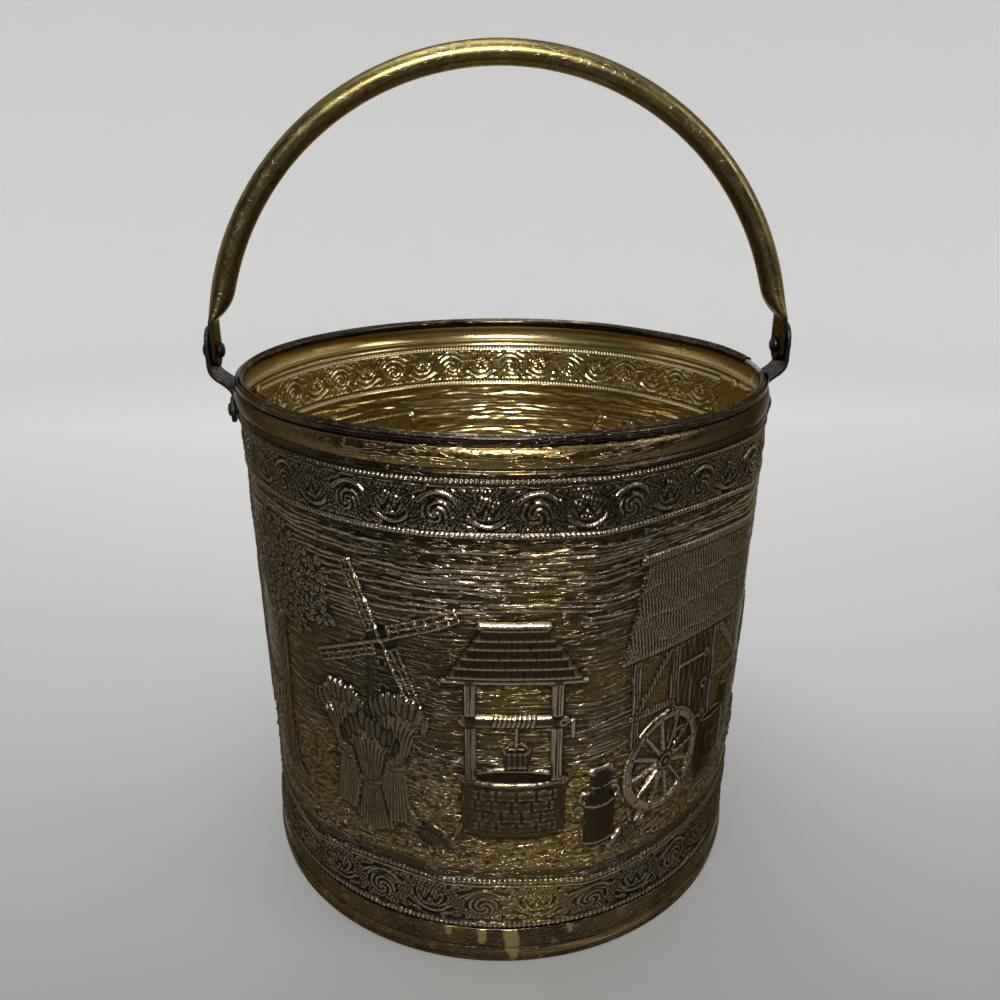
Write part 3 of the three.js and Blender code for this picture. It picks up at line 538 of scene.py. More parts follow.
def hen(sheet, foot, size, facing):
    """A hen pecking at the ground; facing is 1 to the right and -1 to the left."""
    u, z = foot

    def spot(right, up):
        return (u + right * size * facing, z + up * size)

    def feathers(across, along):
        return 0.24 * np.abs(np.sin(1.7 * across) * np.sin(1.9 * along + 0.8 * across))

    for leg in (-1.6, 1.2):
        shank = [spot(leg, 5), spot(leg, 0), spot(leg + 1.4, -0.3)]
        sheet.line(shank, 1.0, 0.8, dark=0.4, base=0.5)
    body = (7.4 * size, 5.2 * size)
    sheet.blob(spot(0, 8), body, 1.5, -14 * facing, dark=0.95, base=0.4, detail=feathers)
    for plume in range(4):
        tail = [spot(-4.5, 9.5), spot(-9.5 - 0.6 * plume, 17 - 2.6 * plume)]
        sheet.line(tail, 2.6 * size, 0.8, dark=0.85, base=1.0, taper=0.4)
    neck = [spot(4.5, 8.5), spot(8.5, 5.4), spot(9.7, 3)]
    sheet.line(neck, 4.4 * size, 0.9, dark=0.85, base=1.1, taper=0.6)
    sheet.blob(spot(9.9, 2.8), (2.0 * size, 1.8 * size), 0.9, base=1.1, dark=0.75)
    sheet.line([spot(10.8, 2), spot(12.4, 0.4)], 1.3 * size, 0.7, base=0.8, taper=0.3)
    wing = (4.2 * size, 2.9 * size)
    sheet.blob(spot(-1, 8.2), wing, 0.7, -18 * facing, base=1.5, dark=0.9, detail=feathers)


def barn(sheet, left, right, ground, eaves, ridge):
    """A timber-framed barn: thatch above, plaster and a plank door below."""
    wide = right - left
    middle = (left + right) / 2
    tall = eaves - ground
    door_left = left + 0.34 * wide
    door_right = left + 0.64 * wide
    door_top = eaves - 2

    def plaster(across, along):
        lumps = np.sin(1.9 * across + 2 * np.sin(0.7 * along))
        return 0.12 * lumps * np.sin(1.7 * along + 2 * np.cos(0.6 * across))

    def beam(across, along):
        return 0.14 * np.sin(3.2 * across + 1.5 * np.sin(along / 5))

    def planks(across, along):
        board = (across - door_left) / 5.2
        return 0.12 * np.sin(5 * across + np.sin(along / 6)) - 0.5 * saw(board) ** 12

    def thatch(across, along):
        drop = (ridge - along) / (ridge - eaves)
        rows = 0.35 * ((3.3 * drop + 0.05 * np.sin(across / 4)) % 1) ** 2
        fall = 3.4 * (across + 0.25 * along) + 2.2 * np.sin(along / 3.1 + across / 5)
        return rows + 0.24 * np.sin(fall) + 0.12 * np.sin(5.3 * across - along)

    wall = corners_of(middle, wide / 2, wide / 2, ground, eaves + 4)
    sheet.plate(wall, 0.45, 0.8, gold=0.5, detail=plaster)
    for share in (0.02, 0.3, 0.68, 0.98):
        post = corners_of(left + share * wide, timber_half, timber_half, ground - 2, eaves + 3)
        sheet.plate(post, 1.35, 1.6, dark=0.8, detail=beam)
    timbers = (
        (0.02, 0.5, 0.3, 1),
        (0.68, 1, 0.98, 0.5),
        (0.68, 0.02, 0.98, 0.02),
        (0.02, 0.02, 0.3, 0.02),
        (0.0, 0.48, 0.3, 0.48),
        (0.68, 0.48, 1.0, 0.48),
    )
    for low_u, low_z, high_u, high_z in timbers:
        start = (left + low_u * wide, ground + low_z * tall)
        end = (left + high_u * wide, ground + high_z * tall)
        sheet.line([start, end], 4.2, 0.7, dark=0.75, base=0.6, detail=beam)
    door = corners_of((door_left + door_right) / 2, 0.15 * wide, 0.15 * wide, ground, door_top)
    sheet.plate(door, 0.9, 0.8, dark=0.7, detail=planks)
    for level in (0.2, 0.78):
        hinge_level = ground + level * (door_top - ground)
        sheet.rail(door_left + 1, door_right - 6, hinge_level, 2.6, 0.6, dark=0.4, taper=0.5)
        sheet.ring((door_right - 5, hinge_level), (2, 2), 1.1, 0.5)
    sheet.ring((door_right - 5, ground + 0.48 * tall), (2.1, 2.4), 1.1, 0.7)
    roof = corners_of(middle, wide / 2 + 8, wide / 2 - 4, eaves - 3, ridge)
    sheet.plate(roof, 1.5, 3.0, dark=0.45, gold=0.3, detail=thatch)
    sheet.rail(left + 3, right - 3, ridge, 5, 0.9, dark=0.5, base=1.0, detail=beam)


def fence(sheet, left, right, foot):
    """Pickets with two rails."""
    half, shoulder, tip = 1.9, foot + 27, foot + 30.5
    for rail in (7, 21):
        sheet.rail(left, right, foot + rail, 2.6, 0.8, dark=0.6, base=0.3)
    for picket in np.arange(left + 3, right, 8.2):
        *sides, left_shoulder = corners_of(picket, half, half, foot, shoulder)
        sheet.plate([*sides, (picket, tip), left_shoulder], 1.1, 1.4, dark=0.85)


def skep(sheet, foot, wide, tall):
    """A straw beehive on a stand."""
    u, z = foot
    for leg in (-0.6, 0.6):
        splayed = [(u + leg * wide, z + 7), (u + 1.15 * leg * wide, z - 16)]
        sheet.line(splayed, 3, 1.0, dark=0.8, base=0.5)
    for level in range(8):
        up = level / 7
        half = 0.5 * wide * sqrt(1 - 0.8 * up**2)
        sheet.rail(u - half, u + half, z + 11 + up * tall, 3.0, 1.4, dark=0.7, base=0.4)
    sheet.rail(u - 0.8 * wide, u + 0.8 * wide, z + 8, 4, 1.3, dark=0.8, base=0.6)
    sheet.blob((u, z + 13), (2.8, 2.6), -0.7, base=1.0, dark=1.0)


def ground_and_sky(sheet, rng, width, bottom, top):
    """The yard's short strokes, the sky's ruled lines and what grows along the horizon."""
    u, z = sheet.u, sheet.z
    shape = u.shape
    horizon = horizon_height + 5 * np.sin(u / 38) + 2.5 * np.sin(u / 17 + 1)
    band = (z > bottom) & (z < top)
    wobble = 1.0 * grain(rng, shape, 30, 4) + 0.3 * grain(rng, shape, 9, 2.5)
    ruled = np.abs(np.sin(pi * (z + wobble) / 2.6)) ** 1.6
    breaks = ease(-1.1, 0.3, grain(rng, shape, 24, 1.2))
    sky = 0.85 * ruled * breaks + 0.12 * grain(rng, shape, 5, 0.8)
    sky *= 0.4 + 0.6 * ease(*calm_sky, z)
    strokes = np.clip(grain(rng, shape, 1.9, 0.75), -1.5, 2.2)
    yard = 0.22 * strokes + 0.18 * grain(rng, shape, 5, 2.4)
    far = ease(-2, 2, z - horizon)
    sheet.h[band] = (far * sky + (1 - far) * yard)[band]
    patches = ease(-0.2, 1.2, grain(rng, shape, 28, 18))
    sheet.gold[band] = (0.8 - 0.7 * far * (1 - 0.6 * patches))[band]
    for index in range(3):
        hills = (7 - 1.5 * index) * np.sin(u[0] / (31 - 6 * index) + 2.1 * index)
        crest = horizon[0] + 13 - 7 * index + hills
        sheet.line(np.stack([u[0], crest], 1)[::9], 1.3, 0.5, gold=0.2)
    for _ in range(60):
        spot = rng.uniform(4, width - 4)
        level = horizon_height + 5 * sin(spot / 38) + rng.uniform(-2, 3)
        sheet.blob((spot, level), (rng.uniform(2, 4.5), rng.uniform(1.6, 3)), 0.7, dark=0.5)
    for _ in range(60):
        root = (rng.uniform(3, width - 3), rng.uniform(bottom + 18, bottom + 50))
        tuft(sheet, rng, root)


def tuft(sheet, rng, root):
    for _ in range(4):
        lean = rng.uniform(-4, 4)
        tip = (root[0] + lean, root[1] + rng.uniform(5, 8))
        blade = [root, (root[0] + 0.4 * lean, root[1] + 4), tip]
        sheet.line(blade, 1.1, 0.5, gold=0.8, taper=0.4)


def picture(sheet, rng, width, bottom, top):
    """The whole farmyard, one half turn wide, from the back to the front."""
    ground_and_sky(sheet, rng, width, bottom, top)
    windmill(sheet, (122, 136), 54)
    barn(sheet, 246, 338, 112, 178, 228)
    skep(sheet, (384, 138), 24, 17)
    fence(sheet, 350, 452, 104)
    fence(sheet, 4, 30, 104)
    tree(sheet, rng, (46, 88), (50, 206), (42, 25))
    tree(sheet, rng, (428, 92), (424, 208), (30, 23))
    well(sheet, (186, 86))
    for foot, tall, lean in (((101, 88), 66, -0.08), ((123, 87), 70, 0.07), ((112, 78), 62, 0.0)):
        sheaf(sheet, rng, foot, tall, lean)
    barrel(sheet, (333, 86), 31, 48)
    wheel(sheet, (270, 110), 27)
    barrel(sheet, (312, 79), 26, 40)
    churn(sheet, (229, 75), 46)
    hen(sheet, (146, 71), 1.3, 1)
    hen(sheet, (246, 68), 1.05, -1)
    hen(sheet, (364, 74), 1.2, -1)
    sheaf(sheet, rng, (400, 80), 58, 0.05)
    for _ in range(230):
        spot = (rng.uniform(2, width - 2), bottom + 2 + abs(rng.normal(0, 5)))
        sheet.blob(spot, (rng.uniform(1.4, 3.2), rng.uniform(0.9, 1.6)), 0.55, dark=0.1, gold=0.85)
    for _ in range(26):
        tuft(sheet, rng, (rng.uniform(3, width - 3), rng.uniform(bottom + 1, bottom + 9)))
    plain_join(sheet, width, bottom, top)
    band = (sheet.z > bottom) & (sheet.z < top)
    edge = ease(bottom, bottom + 1.2, sheet.z) * ease(top, top - 1.2, sheet.z)
    sheet.h[band] *= edge[band]


def plain_join(sheet, width, bottom, top):
    """The plain upright strips where one stamping of the picture meets the next."""
    band = (sheet.z > bottom) & (sheet.z < top)
    for strip in (0, width):
        near = np.abs(sheet.u - strip)
        plain = ease(7.5, 6.0, near) * band
        ridge = 0.6 * dome((near - 5.5) / 1.3)
        sheet.h += (ridge - sheet.h) * plain
        sheet.dark += (0.5 - sheet.dark) * plain
        sheet.gold += (0.0 - sheet.gold) * plain


# ---------------------------------------------------------------- meshes

# Each part: the body it rides on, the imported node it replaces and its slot.
WALL = ("bucket", "body_wall", "brass_wall")
RIM_WIRE = ("bucket", "rim_wire", "grey_steel")
FOOT_BAND = ("bucket", "foot_band", "brass_foot")
BASE_DISC = ("bucket", "base_disc", "grey_steel")
HANDLE = ("bail", "handle", "brass_tube")


def place(name, mesh, part, finish):
    body, node, slot = part
    piece = bpy.data.objects.new(name, mesh)
    bpy.context.scene.collection.objects.link(piece)
    mesh.materials.append(finish)
    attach(piece, body)
    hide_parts(node)
    return piece


def grid_faces(rows, columns, wrap):
    """The row, the column and the four corners of every face of a grid."""
    row, column = np.meshgrid(
        np.arange(rows if wrap[0] else rows - 1),
        np.arange(columns if wrap[1] else columns - 1),
        indexing="ij",
    )
    row, column = row.ravel(), column.ravel()
    next_row = (row + 1) % rows
    next_column = (column + 1) % columns
    corners = [(row, column), (row, next_column), (next_row, next_column), (next_row, column)]
    return row, column, np.stack([a * columns + b for a, b in corners], 1)


def grid_piece(
    name, points, part, finish, wrap=(False, True), turned=False, strips=1, normals=None, marks=None
):
    """A mesh from a grid of points, rows by columns, with quads between them."""
    rows, columns = points.shape[:2]
    row, column, quads = grid_faces(rows, columns, wrap)
    steps = [(0, 0), (0, 1), (1, 1), (1, 0)]
    if turned:
        quads = quads[:, ::-1]
        steps.reverse()

    mesh = bpy.data.meshes.new(name)
    mesh.vertices.add(rows * columns)
    mesh.vertices.foreach_set("co", (points.reshape(-1, 3) * MM).ravel())
    mesh.loops.add(quads.size)
    mesh.loops.foreach_set("vertex_index", quads.ravel())
    mesh.polygons.add(len(quads))
    mesh.polygons.foreach_set("loop_start", np.arange(0, quads.size, 4))
    mesh.polygons.foreach_set("use_smooth", np.ones(len(quads), bool))

    # The map folds a long ring into strips, one above the other.
    row_count = row.max() + 1
    per_strip = -(-(column.max() + 1) // strips)
    strip = column // per_strip
    across = np.stack([(column - strip * per_strip + s[1]) / per_strip for s in steps], 1)
    up = np.stack([(strip + 0.01 + 0.98 * (row + s[0]) / row_count) / strips for s in steps], 1)
    uv = mesh.uv_layers.new(name="OFBake")
    uv.data.foreach_set("uv", np.stack([across, up], 2).ravel())
    if marks is not None:
        layer = mesh.attributes.new("marks", "FLOAT_COLOR", "POINT")
        layer.data.foreach_set("color", marks.reshape(-1, 4).astype(np.float32).ravel())
    mesh.update(calc_edges=True)
    mesh.validate()
    if normals is not None:
        mesh.normals_split_custom_set_from_vertices(normals.reshape(-1, 3))
    return place(name, mesh, part, finish)


def close_ends(mesh):
    """Fills the open ends of a swept shape."""
    shape = bmesh.new()
    shape.from_mesh(mesh)
    bmesh.ops.holes_fill(shape, edges=[e for e in shape.edges if e.is_boundary], sides=0)
    bmesh.ops.recalc_face_normals(shape, faces=shape.faces)
    shape.to_mesh(mesh)
    shape.free()


def round_axis(radius, height, angles):
    """Points at a radius and a height, each rows by columns, at the columns' angles."""
    turn = np.radians(angles)
    radius, height, turn = np.broadcast_arrays(radius, height, turn)
    return np.stack([radius * np.cos(turn), radius * np.sin(turn), height], -1)


def grid_normals(points):
    """The outward normals of a grid that closes round its columns."""
    around = np.roll(points, -1, axis=1) - np.roll(points, 1, axis=1)
    normals = np.cross(around, np.gradient(points, axis=0))
    return normals / np.linalg.norm(normals, axis=-1, keepdims=True)


def arc(centre, radius, turns):
    """Points of a circle at the given turns, in radians."""
    return np.stack([centre[0] + radius * np.cos(turns), centre[1] + radius * np.sin(turns)], 1)


def full_ring(steps):
    """The angles of a whole turn, as one row."""
    return (np.arange(steps) * 360 / steps)[None, :]


# ---------------------------------------------------------------- materials


class Paint:
    """A material's nodes, built from short calls."""

    def __init__(self, name):
        self.material = bpy.data.materials.new(name)
        self.material.use_nodes = True
        self.tree = self.material.node_tree
        self.shader = self.tree.nodes["Principled BSDF"]
        self.spot = self.add("ShaderNodeTexCoord").outputs["Object"]
        self.rim = (1, 1, 1)

    def feed(self, socket, value):
        """Links a socket to a value that is one, or sets it."""
        if isinstance(value, bpy.types.NodeSocket):
            self.tree.links.new(value, socket)
        else:
            socket.default_value = (*value, 1) if socket.type == "RGBA" else value

    def add(self, kind, inputs=(), **settings):
        made = self.tree.nodes.new(kind)
        for name, value in settings.items():
            setattr(made, name, value)
        for key, value in dict(inputs).items():
            self.feed(made.inputs[key], value)
        return made

    def marks(self):
        """The red, green, blue and alpha of the mesh's marks."""
        made = self.add("ShaderNodeAttribute", attribute_name="marks")
        split = self.add("ShaderNodeSeparateColor", {0: made.outputs["Color"]})
        return (*split.outputs[:3], made.outputs["Alpha"])

    def noise(self, size, detail=3.0, stretch=(1, 1, 1), rough=0.55, seed=0.0):
        """Noise from 0 to 1 with blots about size millimetres across."""
        moved = {"Vector": self.spot, "Location": (seed, seed / 2, -seed), "Scale": stretch}
        inputs = {
            "Vector": self.add("ShaderNodeMapping", moved).outputs[0],
            "Scale": 1 / (size * MM),
            "Detail": detail,
            "Roughness": rough,
        }
        return self.add("ShaderNodeTexNoise", inputs).outputs[0]

    def span(self, value, low, high, bottom=0.0, top=1.0):
        """Bottom where value is at most low, top where it is at least high."""
        inputs = {"Value": value, "From Min": low, "From Max": high, "To Min": bottom, "To Max": top}
        return self.add("ShaderNodeMapRange", inputs, interpolation_type="SMOOTHSTEP").outputs[0]

    def math(self, operation, *values):
        return self.add("ShaderNodeMath", dict(enumerate(values)), operation=operation).outputs[0]

    def sum(self, first, second):
        return self.math("ADD", first, second)

    def times(self, first, second):
        return self.math("MULTIPLY", first, second)

    def blend(self, share, first, second):
        made = self.tree.nodes.new("ShaderNodeMix")
        made.data_type = "RGBA"
        colours = [socket for socket in made.inputs if socket.type == "RGBA"]
        for socket, value in zip((made.inputs[0], *colours), (share, first, second)):
            self.feed(socket, value)
        return next(socket for socket in made.outputs if socket.type == "RGBA")

    def bumps(self, *layers):
        """Layers of (height, depth in mm), one on the other; returns the normal."""
        inputs = {"Strength": 1.0}
        for height, depth in layers:
            inputs |= {"Height": height, "Distance": depth * MM}
            inputs["Normal"] = self.add("ShaderNodeBump", inputs).outputs[0]
        return inputs["Normal"]

    def scratches(self, size, stretch, seed, width=0.06):
        """Thin lines along the level curves of stretched noise, 1 on a line."""
        field = self.noise(size, 1.0, stretch, 0.4, seed)
        off = self.math("ABSOLUTE", self.math("SUBTRACT", field, 0.5))
        return self.span(off, width / 4, 0.0)

    def metal(self, colour, roughness, normal):
        """Finishes the material; self.rim dulls what it mirrors at a flat angle."""
        inputs = {"Metallic": 1.0, "Base Color": colour, "Roughness": roughness}
        inputs |= {"Specular Tint": self.rim, "Normal": normal}
        for key, value in inputs.items():
            self.feed(self.shader.inputs[key], value)
        return self.material


# Dark tarnish; in the wall's hollows and specks it is real tarnish, and inside it also paints shade on
# the sides and in the grooves.
TARNISH_AND_SHADE = (0.018, 0.014, 0.009)
DULL_RIM = (0.46, 0.43, 0.385)
# Pale brass for worn edges and scratches; on the embossed wall it also paints glints on the raised
# edges.
EDGE_AND_GLINT = (0.80, 0.66, 0.46)
# Oxidised steel: dark, light and rusty.
OXIDE = ((0.018, 0.015, 0.013), (0.075, 0.064, 0.056), (0.10, 0.045, 0.02))
# The handle's ends are painted darker, as painted shade, between these heights above the hinge, and a
# rivet shows its colour inside the wall between these distances from the bucket's axis, both in mm.
tab_shade_ends, tab_shade_full = 22, 13
outside_from, inside_from = 146, 144.5


def embossed_brass(name, patina, ground, form, forms, edge, polish, roughness, soiled, rim):
    """Brass with marks: red for worn edges and painted glints, green for dark forms and, outside,
    painted shade on the rim's sides, blue for bare ground and, outside, painted reflection on the
    front, alpha for hollows and, inside, painted shade on the sides and in the grooves; forms is
    how strongly the forms are darkened, and soiled how strongly the brass is streaked and speckled."""
    paint = Paint(name)
    wear_and_glint, dark, gold, low = paint.marks()
    blots = paint.noise(34, 4)
    specks = paint.noise(2.2, 4, seed=3)
    fine = paint.noise(0.7, 2, seed=5)
    bare = paint.times(gold, paint.span(specks, 0.3, 0.55, 1 - 0.65 * soiled, 1))
    streaks = paint.scratches(5, (0.4, 0.4, 3), 9, 0.16)
    streaks = paint.times(streaks, paint.span(dark, 0.2, 0.6, soiled, 0))
    folds = paint.times(paint.noise(3, 2, (2.4, 2.4, 0.8), seed=12), paint.times(dark, soiled))
    colour = paint.blend(paint.span(blots, 0.38, 0.66), patina, ground)
    colour = paint.blend(bare, colour, polish)
    colour = paint.blend(paint.times(streaks, paint.span(blots, 0.4, 0.6, 0.1, 0.45)), colour, edge)
    colour = paint.blend(paint.times(dark, forms), colour, form)
    # Tarnish in the hollows; inside the same mark also carries painted shade on the sides and in the
    # grooves.
    colour = paint.blend(paint.times(low, paint.span(specks, 0.2, 0.6, 0.95, 0.6)), colour, TARNISH_AND_SHADE)
    # Worn edges in pale brass, partly real wear and partly painted glints.
    colour = paint.blend(paint.times(wear_and_glint, paint.span(fine, 0.3, 0.6, 0.5, 1)), colour, edge)
    speckled = paint.span(specks, 0.3, 0.7, roughness - 0.04 * soiled, roughness + 0.08 * soiled)
    rough = paint.sum(speckled, paint.sum(paint.times(low, 0.15), paint.times(bare, -0.04)))
    rough = paint.sum(rough, paint.times(wear_and_glint, -0.02))
    skin = ((specks, 0.05 * soiled), (fine, 0.03 * soiled), (streaks, 0.16), (folds, 0.3))
    paint.rim = rim
    return paint.metal(colour, rough, paint.bumps(*skin))


def plain_brass(name, patina, ground, polish, stretch, roughness, spots, skin, shade=None):
    """Smooth brass with blots of patina, patches rubbed bright and fine scratches; skin is
    how rough it is, and shade adds to its colour."""
    paint = Paint(name)
    paint.rim = DULL_RIM
    blots = paint.noise(26, 5, seed=1)
    patches = paint.noise(9, 4, seed=2)
    specks = paint.noise(1.4, 3, seed=6)
    scratch = paint.scratches(7, stretch, 4)
    colour = paint.blend(paint.span(blots, 0.36, 0.64), patina, ground)
    colour = paint.blend(paint.span(patches, spots, spots + 0.22, 0, 0.8), colour, polish)
    colour = paint.blend(paint.times(scratch, 0.5), colour, EDGE_AND_GLINT)
    colour = paint.blend(paint.span(specks, 0.66, 0.74, 0, 0.7), colour, TARNISH_AND_SHADE)
    if shade:
        colour = shade(paint, colour)
    rough = paint.span(patches, 0.3, 0.7, roughness + 0.08, roughness - 0.04)
    normal = paint.bumps((patches, 0.12 * skin), (specks, 0.03 * skin), (scratch, -0.02))
    return paint.metal(colour, rough, normal)


def dark_tabs(paint, colour):
    """The handle's flattened ends are painted darker than its tube, as painted shade."""
    height = paint.add("ShaderNodeSeparateXYZ", {0: paint.spot}).outputs[2]
    limits = ((hinge_z + above) * MM for above in (tab_shade_ends, tab_shade_full))
    on_tab = paint.span(height, *limits, 0, 0.9)
    paint.rim = paint.blend(on_tab, (0.6, 0.56, 0.5), (0.36, 0.34, 0.3))
    # Painted shade: the tabs take a dark brown.
    return paint.blend(on_tab, colour, (0.060, 0.046, 0.028))


def drips_and_bead(paint, colour):
    """The foot band's marks: red for drips of old lacquer, green for its worn bead."""
    drip, worn = paint.marks()[:2]
    colour = paint.blend(worn, colour, (0.62, 0.44, 0.17))
    return paint.blend(drip, colour, (0.42, 0.33, 0.13))


def steel(name, dark, light, rust, roughness, grain_size, inside=None):
    """Steel with a pitted skin and a little rust; inside is its colour within the wall."""
    paint = Paint(name)
    blots = paint.noise(9, 5, seed=7)
    pits = paint.noise(grain_size, 5, seed=8)
    colour = paint.blend(paint.span(pits, 0.35, 0.7), dark, light)
    colour = paint.blend(paint.span(blots, 0.58, 0.72, 0, 0.55), colour, rust)
    if inside:
        level = paint.add("ShaderNodeVectorMath", {0: paint.spot, 1: (1, 1, 0)}, operation="MULTIPLY")
        out = paint.add("ShaderNodeVectorMath", {0: level.outputs[0]}, operation="LENGTH")
        within = paint.span(out.outputs["Value"], outside_from * MM, inside_from * MM)
        colour = paint.blend(within, colour, inside)
    rough = paint.span(pits, 0.3, 0.7, roughness + 0.12, roughness - 0.05)
    return paint.metal(colour, rough, paint.bumps((blots, 0.3), (pits, 0.14)))


outer_brass = embossed_brass(
    "wall_brass_outside",
    patina=(0.080, 0.059, 0.028),
    ground=(0.056, 0.046, 0.034),
    form=(0.034, 0.025, 0.020),
    forms=0.85,
    edge=EDGE_AND_GLINT,
    polish=(0.42, 0.27, 0.075),
    roughness=0.22,
    soiled=1.0,
    rim=DULL_RIM,
)
# Painted light: the same brass as outside, painted far paler to stand for the light falling inside the
# bucket.
lit_inner_brass = embossed_brass(
    "wall_brass_inside_lit",
    patina=(0.90, 0.70, 0.32),
    ground=(0.84, 0.63, 0.26),
    form=(0.78, 0.60, 0.26),
    forms=0.5,
    edge=(1.0, 0.92, 0.68),
    polish=(0.94, 0.74, 0.34),
    roughness=0.2,
    soiled=0.1,
    rim=(0.85, 0.82, 0.74),
)
roll_brass = plain_brass(
    "rim_brass",
    patina=(0.075, 0.056, 0.038),
    ground=(0.045, 0.034, 0.025),
    polish=(0.28, 0.21, 0.125),
    stretch=(1, 1, 8),
    roughness=0.12,
    spots=0.56,
    skin=0.2,
)
foot_brass = plain_brass(
    "foot_brass",
    patina=(0.060, 0.043, 0.022),
    ground=(0.12, 0.083, 0.034),
    polish=(0.36, 0.25, 0.085),
    stretch=(1, 1, 8),
    roughness=0.2,
    spots=0.58,
    skin=0.5,
    shade=drips_and_bead,
)
tube_brass = plain_brass(
    "handle_brass",
    patina=(0.175, 0.137, 0.05),
    ground=(0.25, 0.192, 0.067),
    polish=(0.37, 0.29, 0.115),
    stretch=(1, 7, 1),
    roughness=0.27,
    spots=0.5,
    skin=0.6,
    shade=dark_tabs,
)
dark_steel = steel("ear_steel", *OXIDE, 0.42, 2.4)
rivet_steel = steel("rivet_steel", *OXIDE, 0.36, 2.4, inside=(0.50, 0.38, 0.16))
wire_steel = steel("wire_steel", (0.25, 0.24, 0.22), (0.55, 0.54, 0.51), (0.16, 0.09, 0.05), 0.35, 1.2)
tin = steel("base_tin", (0.19, 0.18, 0.165), (0.34, 0.33, 0.31), (0.12, 0.09, 0.065), 0.42, 6.0)

# ---------------------------------------------------------------- the embossed wall

columns = 1656
half_turn = columns // 2
sheet_thick = 0.6
wall_foot_radius = 143.3
wall_top_radius = 145.0
straight_from, straight_to = 56.0, 246.0
wall_bottom = 1.15
wall_top = 287.7
lap_from, lap_to = 0.5, 15.5
relief_depth = 0.8
stamp_width = pi * wall_top_radius
wall_angles = lap_to + full_ring(columns)
# The heights of the wall's rows: from, to and step, finest at the upper border.
row_steps = ((21.5, 61, 0.6), (61, 245, 0.64), (245, wall_top, 0.52))
z_line = np.concatenate([[wall_bottom, 8, 15, 20.5], *(np.arange(*step) for step in row_steps)])
z_line[-1] = wall_top
wall_z = z_line[:, None]

picture_bottom, picture_top = 62.0, 243.5
upper_border = (259.05, 10.2)
lower_border = (39.2, 11.4)
upper_repeats, lower_repeats = 42, 32
border_ridges = (upper_border[0] + 10.6, lower_border[0] + 11.9)
ridge_half = 0.7
torus = (277.3, 287.5, 2.3)
rim_bead = (273.4, 276.9, 1.3)
upper_teeth, lower_teeth = 414, 350
milled_beads = (
    (270.7, 273.2, 2.0, upper_teeth),
    (245.8, 248.6, 1.2, upper_teeth),
    (52.8, 56.0, 1.2, lower_teeth),
    (22.6, 26.4, 1.3, lower_teeth),
)

# The wall was bent along creases: the angle of each, how far it stands out low on the wall
# and high on it, and how much of the straight line to the next is followed, low and high.
creases = (
    (183, 0.0, 0.0, 0.6, 0.2),
    (207, -0.3, -1.6, 0.4, 0.2),
    (224, 5.0, -0.4, 0.75, 0.13),
    (255, 2.5, 1.5, 0.56, 0.38),
    (284, 5.9, 4.4, 0.23, 0.68),
    (324, -0.6, 3.2, 0.3, 0.3),
    (343, 0.7, 1.2, 0.0, 0.0),
    (349, 0.0, 0.0, 0.0, 0.0),
)
crease_rounding = 4  # columns
bend_heights = (22.8, 52.8, 249.2, 287.4)
bend_shares = (0, 1, 1, 0)

# The side facing the camera, painted brighter as painted reflection, with the sides darker: its angle
# and how many degrees it fades over.
painted_sheen_side = (268, 75)
# Patches of painted reflection in gold, on the front, the foot and the rim: angle, degrees, and the
# heights each fades in and out between.
front_reflection = (272, 22, (56, 70), (250, 236))
foot_reflection = (272, 24, (22, 28), (60, 54))
rim_reflection = (264, 62, (275, 281), (288, 286.5))
# The heights between which the wear and painted glints grow, the wear and glints drop and the rim's
# sides take painted shade.
wear_and_glint_grows, wear_and_glint_drops, rim_side_shade = (60, 210), (270, 271), (268, 273)
# Painted shade in the grooves inside, under the roll's inner lip and between the mouldings: height,
# half its width and how dark.
inner_groove_shade = ((288.2, 2.4, 0.9), (277.7, 0.9, 0.8), (273.4, 0.8, 0.8))
# Inside, the heights where the relief deepens and where the border's dirt begins, and how
# far round from the back the sides darken, partly tarnish and partly painted shade.
relief_deepens, dirt_begins, inner_side_tarnish_and_shade = (205, 220), (236, 244), (30, 75)
outer_panels, inner_panels, low_panels = 8, 3, 2
fine_above = 200


def spread(angles, centre, half):
    """1 at the centre angle, fading to 0 at half degrees on each side."""
    off = (angles - centre + 180) % 360 - 180
    return ease(half, 0, np.abs(off))


def patch(angle, half, fade_in, fade_out):
    """A part of the wall round an angle and between two heights, with soft edges."""
    return spread(wall_angles, angle, half) * ease(*fade_in, wall_z) * ease(*fade_out, wall_z)


def bent_flats(angles, high):
    """How far each angle stands out from the round wall, low on it or high on it."""
    off = np.zeros_like(angles)
    for first, second in zip(creases, creases[1:]):
        start, end = first[0], second[0]
        inside = (angles >= start) & (angles < end)
        along = (angles[inside] - start) / (end - start)
        half = (end - start) / 2
        sag = 1 - cos(radians(half)) / np.cos(np.radians(angles[inside] - start - half))
        line = first[1 + high] + (second[1 + high] - first[1 + high]) * along
        off[inside] = line - first[3 + high] * wall_top_radius * sag
    return blur(off, crease_rounding, 0.01)


def dressed_sheet():
    """The whole wall laid flat: the picture twice, the borders and the milled beads."""
    u_line = np.arange(columns) * stamp_width / half_turn
    rng = np.random.default_rng(11)
    stamp = Sheet(u_line[:half_turn], z_line)
    picture(stamp, rng, stamp_width, picture_bottom, picture_top)
    whole = Sheet(u_line, z_line)
    for field in ("h", "dark", "gold"):
        setattr(whole, field, np.tile(getattr(stamp, field), 2))
    border(whole, *upper_border, 2 * stamp_width / upper_repeats)
    border(whole, *lower_border, 2 * stamp_width / lower_repeats)
    for ridge in border_ridges:
        bottom, top = ridge - ridge_half, ridge + ridge_half
        where = whole.all_round(bottom, top)
        whole.h[where] = moulding(whole.z[where], bottom, top, ridge_half)
    for bottom, top, bulge, teeth in milled_beads:
        milled_bead(whole, bottom, top, 2 * stamp_width / teeth, bulge / relief_depth)
    return whole


